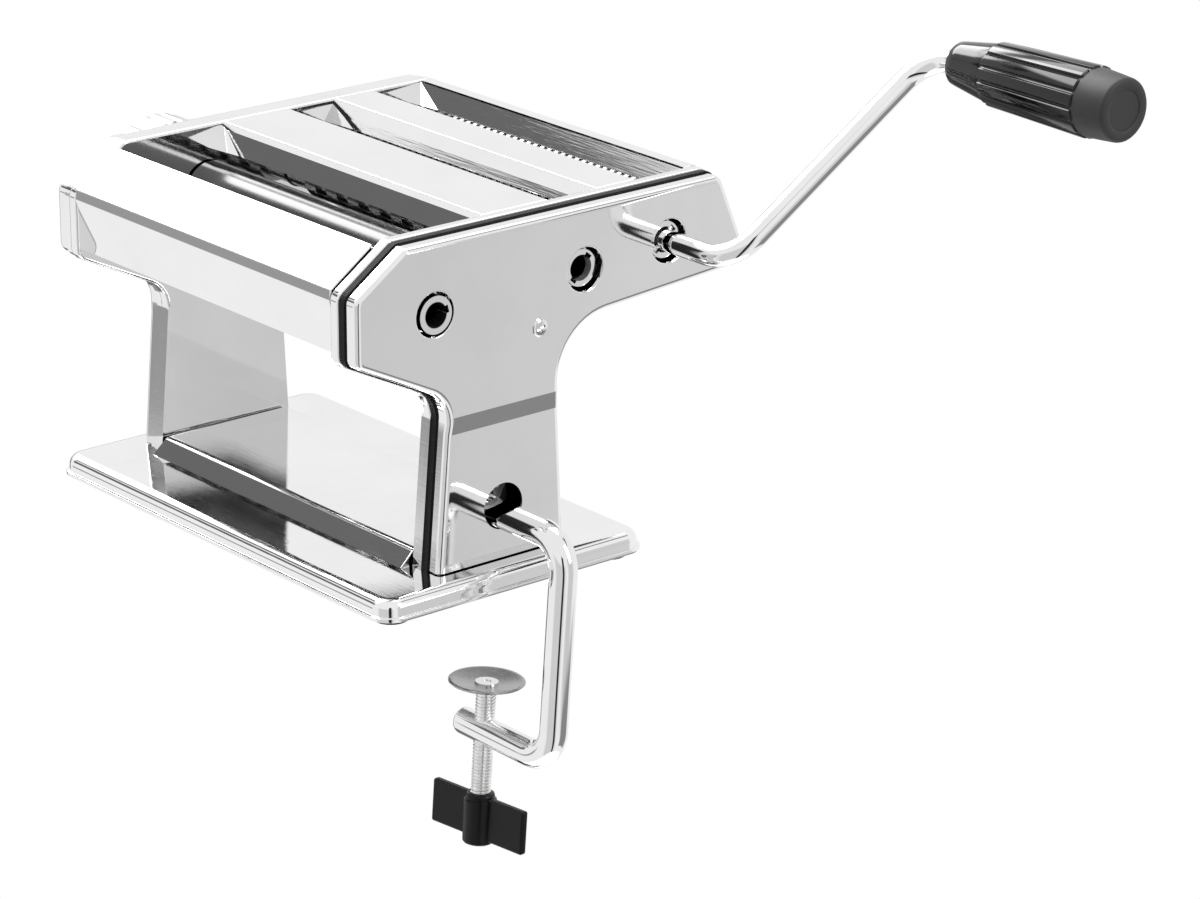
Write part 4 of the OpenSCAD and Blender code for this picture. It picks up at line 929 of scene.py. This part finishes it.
# The face's sunk middle: place along X, radius
WELL = [
    (KNOB_FACE - OVERRUN, 0), (KNOB_FACE - OVERRUN, 17.5), (KNOB_FACE, 17.1),
    (KNOB_FACE + 0.8, 16.4), (KNOB_FACE + 1, 0),
]
SPRING_R, SPRING_X, SPINDLE_R = 7, -99.04, 4.2


def knob_ring(shrink):
    """Outline of the fluted knob: broad lands with shallow round flutes between them."""
    return [round_spot(KNOB_AXIS, math.tau * (k + share) / FLUTES, r - shrink)
            for k in range(FLUTES) for share, r in FLUTE]


def regulator_knob():
    """The thickness knob: a fluted drum with a rounded face, a sunk middle and room for its spring."""
    face = [(KNOB_FACE + KNOB_EDGE_R * back, knob_ring(KNOB_EDGE_R * inward)) for back, inward in quarter(5)]
    back = [(KNOB_BACK, knob_ring(KNOB_CHAMFER)), (KNOB_BACK - KNOB_CHAMFER, knob_ring(0))]
    knob = stacked("thickness_knob", back + face)
    cut_out(knob, turned("well", WELL, KNOB_AXIS))
    cut_out(knob, drum(KNOB_FACE - OVERRUN, SPRING_X, SPRING_R, KNOB_AXIS),
            drum(SPRING_X - OVERRUN, KNOB_BACK + OVERRUN, SPINDLE_R, KNOB_AXIS))
    smooth(knob, 34, weighted=False)
    place(knob, CHROME_ROD, "polished", "regulator_knob")


# Clamp

CLAMP_IN_X, CLAMP_BEND_R, CLAMP_END_EDGE = 54, 12, 1.6
# The screw's thread: pitch, first and last height, and one turn as (height, radius)
PITCH, THREAD_LOW, THREAD_HIGH = 1.25, -WING_TOP - 16.5, -66.5
THREAD_TURN = [(0, 3.2), (0.35, 3.3), (0.55, 3.68), (0.72, 3.68), (0.92, 3.3), (PITCH, 3.2)]
# Profiles as (height from the arm's axis, radius)
SCREW_CORE = [
    (-63.2, 0), (-63.2, 3.0), (-63.4, 3.2), (-66.0, 3.2),
    (THREAD_LOW, 3.19), (THREAD_LOW - 0.5, 3.1), (THREAD_LOW - 0.5, 0),
]
PAD = [
    (-64.6, 0), (-64.6, 5.0), (-64.2, 7.0), (-63.3, 11.8), (-63.1, 13.3), (-62.75, 13.7), (-62.35, 13.72),
    (-62.05, 13.4), (-62.0, 12.9), (-62.2, 12.0), (-63.0, 7.4), (-63.35, 5.2), (-63.4, 0),
]
WING_X, WING_Y, WING_Z, WING_DOWN, WING_TURN, WING_EDGE = 44, 3, 16.3, 9.3, 8, 0.9
# The wing's hub: down from its top, radius
WING_HUB = [
    (0, 0), (0, 4.4), (0.3, 4.9), (1, 5.2), (2.2, 5.3), (2.5, 5.9), (3.2, 6.0),
    (15.6, 5.7), (18.4, 5.6), (18.9, 5.2), (19, 4.6), (19, 0),
]
CLAMP_FRAME = (Matrix.Translation(mm(SCREW_X, *CLAMP_AXIS)) @
               Matrix.Rotation(math.radians(-CLAMP_SWING), 4, "X"))


def clamp_place(x, down):
    """A place on the clamp: along X, and down from the arm's axis."""
    return CLAMP_FRAME @ mm(x - SCREW_X, 0, -down)


def hang(piece):
    """Moves a piece that was made about the origin to the clamp screw's axis."""
    only(piece)
    piece.matrix_world = CLAMP_FRAME
    bpy.ops.object.transform_apply(location=True, rotation=True, scale=True)
    return piece


def clamp_arm():
    """The clamp's bent arm."""
    corners = [clamp_place(CLAMP_IN_X, 0), clamp_place(CLAMP_OUT_X, 0), clamp_place(CLAMP_OUT_X, CLAMP_LOW),
               clamp_place(CLAMP_TIP_X, CLAMP_LOW)]
    piece = rod("clamp_bar", corners, CLAMP_BEND_R, CLAMP_R, end_edge=CLAMP_END_EDGE)
    smooth(piece, 40, weighted=False)
    place(piece, CHROME_ROD, "polished", "clamp_arm")


def clamp_screw():
    """The clamp's threaded rod, one turn of thread repeated along it."""
    thread = line("clamp_thread", [mm(r, 0, THREAD_LOW + up) for up, r in THREAD_TURN])
    turns = int((THREAD_HIGH - THREAD_LOW) / PITCH)
    modify(thread, "SCREW", screw_offset=PITCH * MM, iterations=turns, steps=28, render_steps=28,
           use_merge_vertices=True, merge_threshold=0.00001)
    with editing(thread):
        outward()
    core = stood("core", SCREW_CORE)
    smooth(thread, 40, weighted=False)
    smooth(core, 40, weighted=False)
    join(thread, core)
    place(hang(thread), ZINC, "zinc", "clamp_screw")


def clamp_pad():
    """The dished pressure pad: a shallow bowl with a rolled rim."""
    piece = stood("pressure_pad", PAD, 80)
    smooth(piece, 40, weighted=False)
    place(hang(piece), PAD_STEEL, "zinc", "clamp_pad")


def wing():
    """The wing: a flat blade with rounded edges and a hub with collars."""
    bpy.ops.mesh.primitive_cube_add(size=MM)
    blade = bpy.context.object
    blade.name = "clamp_wing_grip"
    with editing(blade):
        bpy.ops.transform.resize(value=(WING_X, WING_Y, WING_Z))
        bpy.ops.transform.translate(value=mm(0, 0, -WING_TOP - WING_DOWN))
    soften(blade, WING_EDGE, 4)
    fuse(blade, stood("hub", [(-WING_TOP - down, r) for down, r in WING_HUB], 56))
    only(blade)
    blade.rotation_euler.z = math.radians(WING_TURN)
    bpy.ops.object.transform_apply(location=True, rotation=True, scale=True)
    smooth(blade, 36)
    place(hang(blade), WING_BLACK, "gloss_black", "clamp_wing")


# Pieces that keep their CAD shape

def coat_nodes():
    """Materials of the nodes that keep their own shape."""
    coat(SEAL, "gasket_right")
    coat(PLATE_STEEL, "gasket_left")
    coat(RUBBER, "rubber_feet")
    coat(CHANNEL_STEEL, "base_channel", "leg_screws", "tie_nuts", "cover_posts", "clamp_guide")
    coat(ROLLER_STEEL, "smooth_roller_front")
    coat(PAINTED_SHADE_STEEL, "smooth_roller_rear", "tie_rods")
    coat(CUTTER_STEEL, "wide_cutter_front", "wide_cutter_rear", "fine_cutter_front", "fine_cutter_rear")
    for roller, axis in (("smooth", SMOOTH_AXIS), ("wide", WIDE_AXIS), ("fine", FINE_AXIS)):
        coat(hub_finish(f"gear_{roller}_front_hub", axis), f"gear_{roller}_front")
    coat(RIVET_STEEL, "regulator_spindle", "pad_rivet")
    coat(GEAR_STEEL, "gear_smooth_rear", "gear_wide_rear", "gear_fine_rear", "roller_slides")
    coat(NYLON, "bushes", "clamp_liner", "scraper_front", "scraper_rear", "combs_wide", "combs_fine")
    coat(MATT_BLACK, "regulator_dial")
    coat(CHROME_ROD, "knob_cap")
    coat(ZINC, "regulator_spring", "crank_key", "grip_washer")


# Studio

FLOOR_R, FLOOR_Z = 0.6, -0.8
# Soft boxes: place and aim in metres, width and height in metres, power in watts
BOXES = [
    ("overhead_box", (-0.25, 0.3, 1.1), (0, 0.02, 0.1), (0.9, 0.7), 9),
    ("side_box", (1.1, 0.5, 0.7), (0.05, 0.05, 0.1), (0.4, 0.9), 5),
]
# The photograph's camera: turn, tilt and roll in degrees; distance, shifts and target in millimetres
VIEW_TURN, VIEW_TILT, VIEW_ROLL = 50.0658, 19.7582, 0.2482
VIEW_FAR, VIEW_RIGHT, VIEW_UP, VIEW_TARGET = 1724.254, -1.5546, -4.3716, (0, 121.625, 0)
LENS, SENSOR, CLIP_END = 136.33, 36, 20


def floor():
    """A plain pale floor well below the clamp."""
    bpy.ops.mesh.primitive_circle_add(vertices=128, radius=FLOOR_R, fill_type="NGON",
                                      location=(0, 0, FLOOR_Z))
    disc = bpy.context.object
    disc.name = "studio_floor"
    bpy.ops.object.transform_apply(location=True, rotation=True, scale=True)
    disc.data.materials.append(moulded("floor_paint", 0.76, 0.7, 40, 0.02))


def soft_box(name, at, aim, size, power):
    """A rectangular lamp that the camera doesn't see."""
    lamp = bpy.data.lights.new(name, "AREA")
    lamp.shape, lamp.size, lamp.size_y, lamp.energy = "RECTANGLE", size[0], size[1], power
    holder = bpy.data.objects.new(name, lamp)
    bpy.context.collection.objects.link(holder)
    holder.location = at
    holder.rotation_euler = (Vector(aim) - Vector(at)).to_track_quat("-Z", "Y").to_euler()
    holder.visible_camera = False


# Cards on the room's wall: azimuth and half width, lowest and highest elevation, softness along and up (all
# in degrees), and how bright the wall is there
CARDS = [
    (216.5, 11.5, 15.3, 25.5, 1.5, 0.3, 0.15),  # dark, seen in the guides' fronts
    (204.7, 4, 29.5, 37.5, 1, 1, 0.15),         # dark, seen in the platform's slope
    (216.5, 7, -14.5, -8, 1.5, 1, 0.36),        # grey, seen in the hood's knee
    (-38, 7, -60, 28, 1.5, 3, 0.03),            # black, the line along the rods
    (0, 180, -3, 0.5, 0, 1.2, 0.2),             # horizon
    (22, 22, -22.8, 24, 6, 1.2, 0.69),          # grey side, seen in the covers
    (45, 33, -45, -22.8, 5, 1.2, 0.28),         # darker below it, seen in the cover's slope
    (65, 5, 42, 54, 1.5, 2, 0.2),               # line along the cover's upper edge
    (163, 20, -60, 0, 3, 3, 0.2),               # dark rim of the upright rods
    (-60, 38, -60, 10, 6, 4, 0.72),             # the camera's side
    (0, 180, -90, -42, 0, 5, 0.3),              # dark below
    (0, 180, -42, -5, 0, 4, 0.8),               # a little darker below the horizon
]
# Windows of the same form, without a level: the first is seen in the hood's slope, the second on the neck
WINDOWS = [
    (180, 11.5, 33, 62, 1.5, 2),
    (172, 19.5, 22, 34, 1.5, 2),
    (211, 19.5, 40, 62, 1.5, 2),
]
WALL_LEVEL, WINDOW_LEVEL = 0.95, 9


def card(tree, azimuth, height, turn, half, low, high, soft, soft_up):
    """1 inside a card on the room's wall, with soft edges; turn is the azimuth of its middle."""
    off = abs(tree.add("ShaderNodeMath", {"operation": "WRAP"}, {0: azimuth - turn, 1: 180, 2: -180}))
    middle, tall = (low + high) / 2, (high - low) / 2
    side = tree.rise(off, half - soft, half + soft, 1, 0)
    return side * tree.rise(abs(height - middle), tall - soft_up, tall + soft_up, 1, 0)


def room():
    """The pale room seen in the steel, with cards where the steel shows dark or bright."""
    world = bpy.data.worlds.new("studio_room")
    bpy.context.scene.world = world
    tree = Tree(world)
    way = tree.add("ShaderNodeTexCoord", out="Generated")
    split = tree.add("ShaderNodeSeparateXYZ", {}, {0: way})
    x, y, z = (Wire(tree, split.socket.node.outputs[k]) for k in range(3))
    azimuth = tree.add("ShaderNodeMath", {"operation": "ARCTAN2"}, {0: y, 1: x}) * (180 / math.pi)
    height = tree.add("ShaderNodeMath", {"operation": "ARCSINE"}, {0: z}) * (180 / math.pi)
    shade = WALL_LEVEL
    for *shape, level in CARDS:
        shade = shade * (1 + card(tree, azimuth, height, *shape) * (level - 1))
    lit = card(tree, azimuth, height, *WINDOWS[0])
    for shape in WINDOWS[1:]:
        lit = lit.math("MAXIMUM", lit, card(tree, azimuth, height, *shape))
    shade = shade * (1 + lit * (WINDOW_LEVEL - 1))
    light = tree.add("ShaderNodeBackground", {}, {"Color": grey(1), "Strength": shade})
    plain = tree.add("ShaderNodeBackground", {}, {"Color": grey(1), "Strength": 1.0})
    seen = tree.add("ShaderNodeLightPath", out="Is Camera Ray")
    both = tree.add("ShaderNodeMixShader", {}, {0: seen, 1: light, 2: plain})
    tree.add("ShaderNodeOutputWorld", {}, {"Surface": both})


def camera():
    """The photograph's view, with the whole machine in the frame."""
    turn, tilt, roll = math.radians(VIEW_TURN), math.radians(VIEW_TILT), math.radians(VIEW_ROLL)
    right = Vector((math.cos(turn), math.sin(turn), 0))
    back = Vector((math.sin(turn) * math.cos(tilt), -math.cos(turn) * math.cos(tilt), math.sin(tilt)))
    up = back.cross(right)
    rolled_right = math.cos(roll) * right + math.sin(roll) * up
    rolled_up = math.cos(roll) * up - math.sin(roll) * right
    eye = VIEW_RIGHT * rolled_right + VIEW_UP * rolled_up + VIEW_FAR * back + Vector(VIEW_TARGET)
    data = bpy.data.cameras.new("photo_camera")
    data.lens, data.sensor_width, data.clip_end = LENS, SENSOR, CLIP_END
    holder = bpy.data.objects.new("photo_camera", data)
    bpy.context.collection.objects.link(holder)
    turned_to = Matrix((rolled_right, rolled_up, back)).transposed().to_4x4()
    holder.matrix_world = Matrix.Translation(eye * MM) @ turned_to
    bpy.context.scene.camera = holder


def studio():
    """Floor, room, lamps and camera."""
    floor()
    room()
    for box in BOXES:
        soft_box(*box)
    camera()
    view = bpy.context.scene.view_settings
    view.view_transform, view.look, view.exposure = "Standard", "None", 0


base_pan()
side_plates()
covers()
cover_screws()
top_sheets()
crank_rod()
grip()
grip_cap()
regulator_knob()
clamp_arm()
clamp_screw()
clamp_pad()
wing()
coat_nodes()
studio()
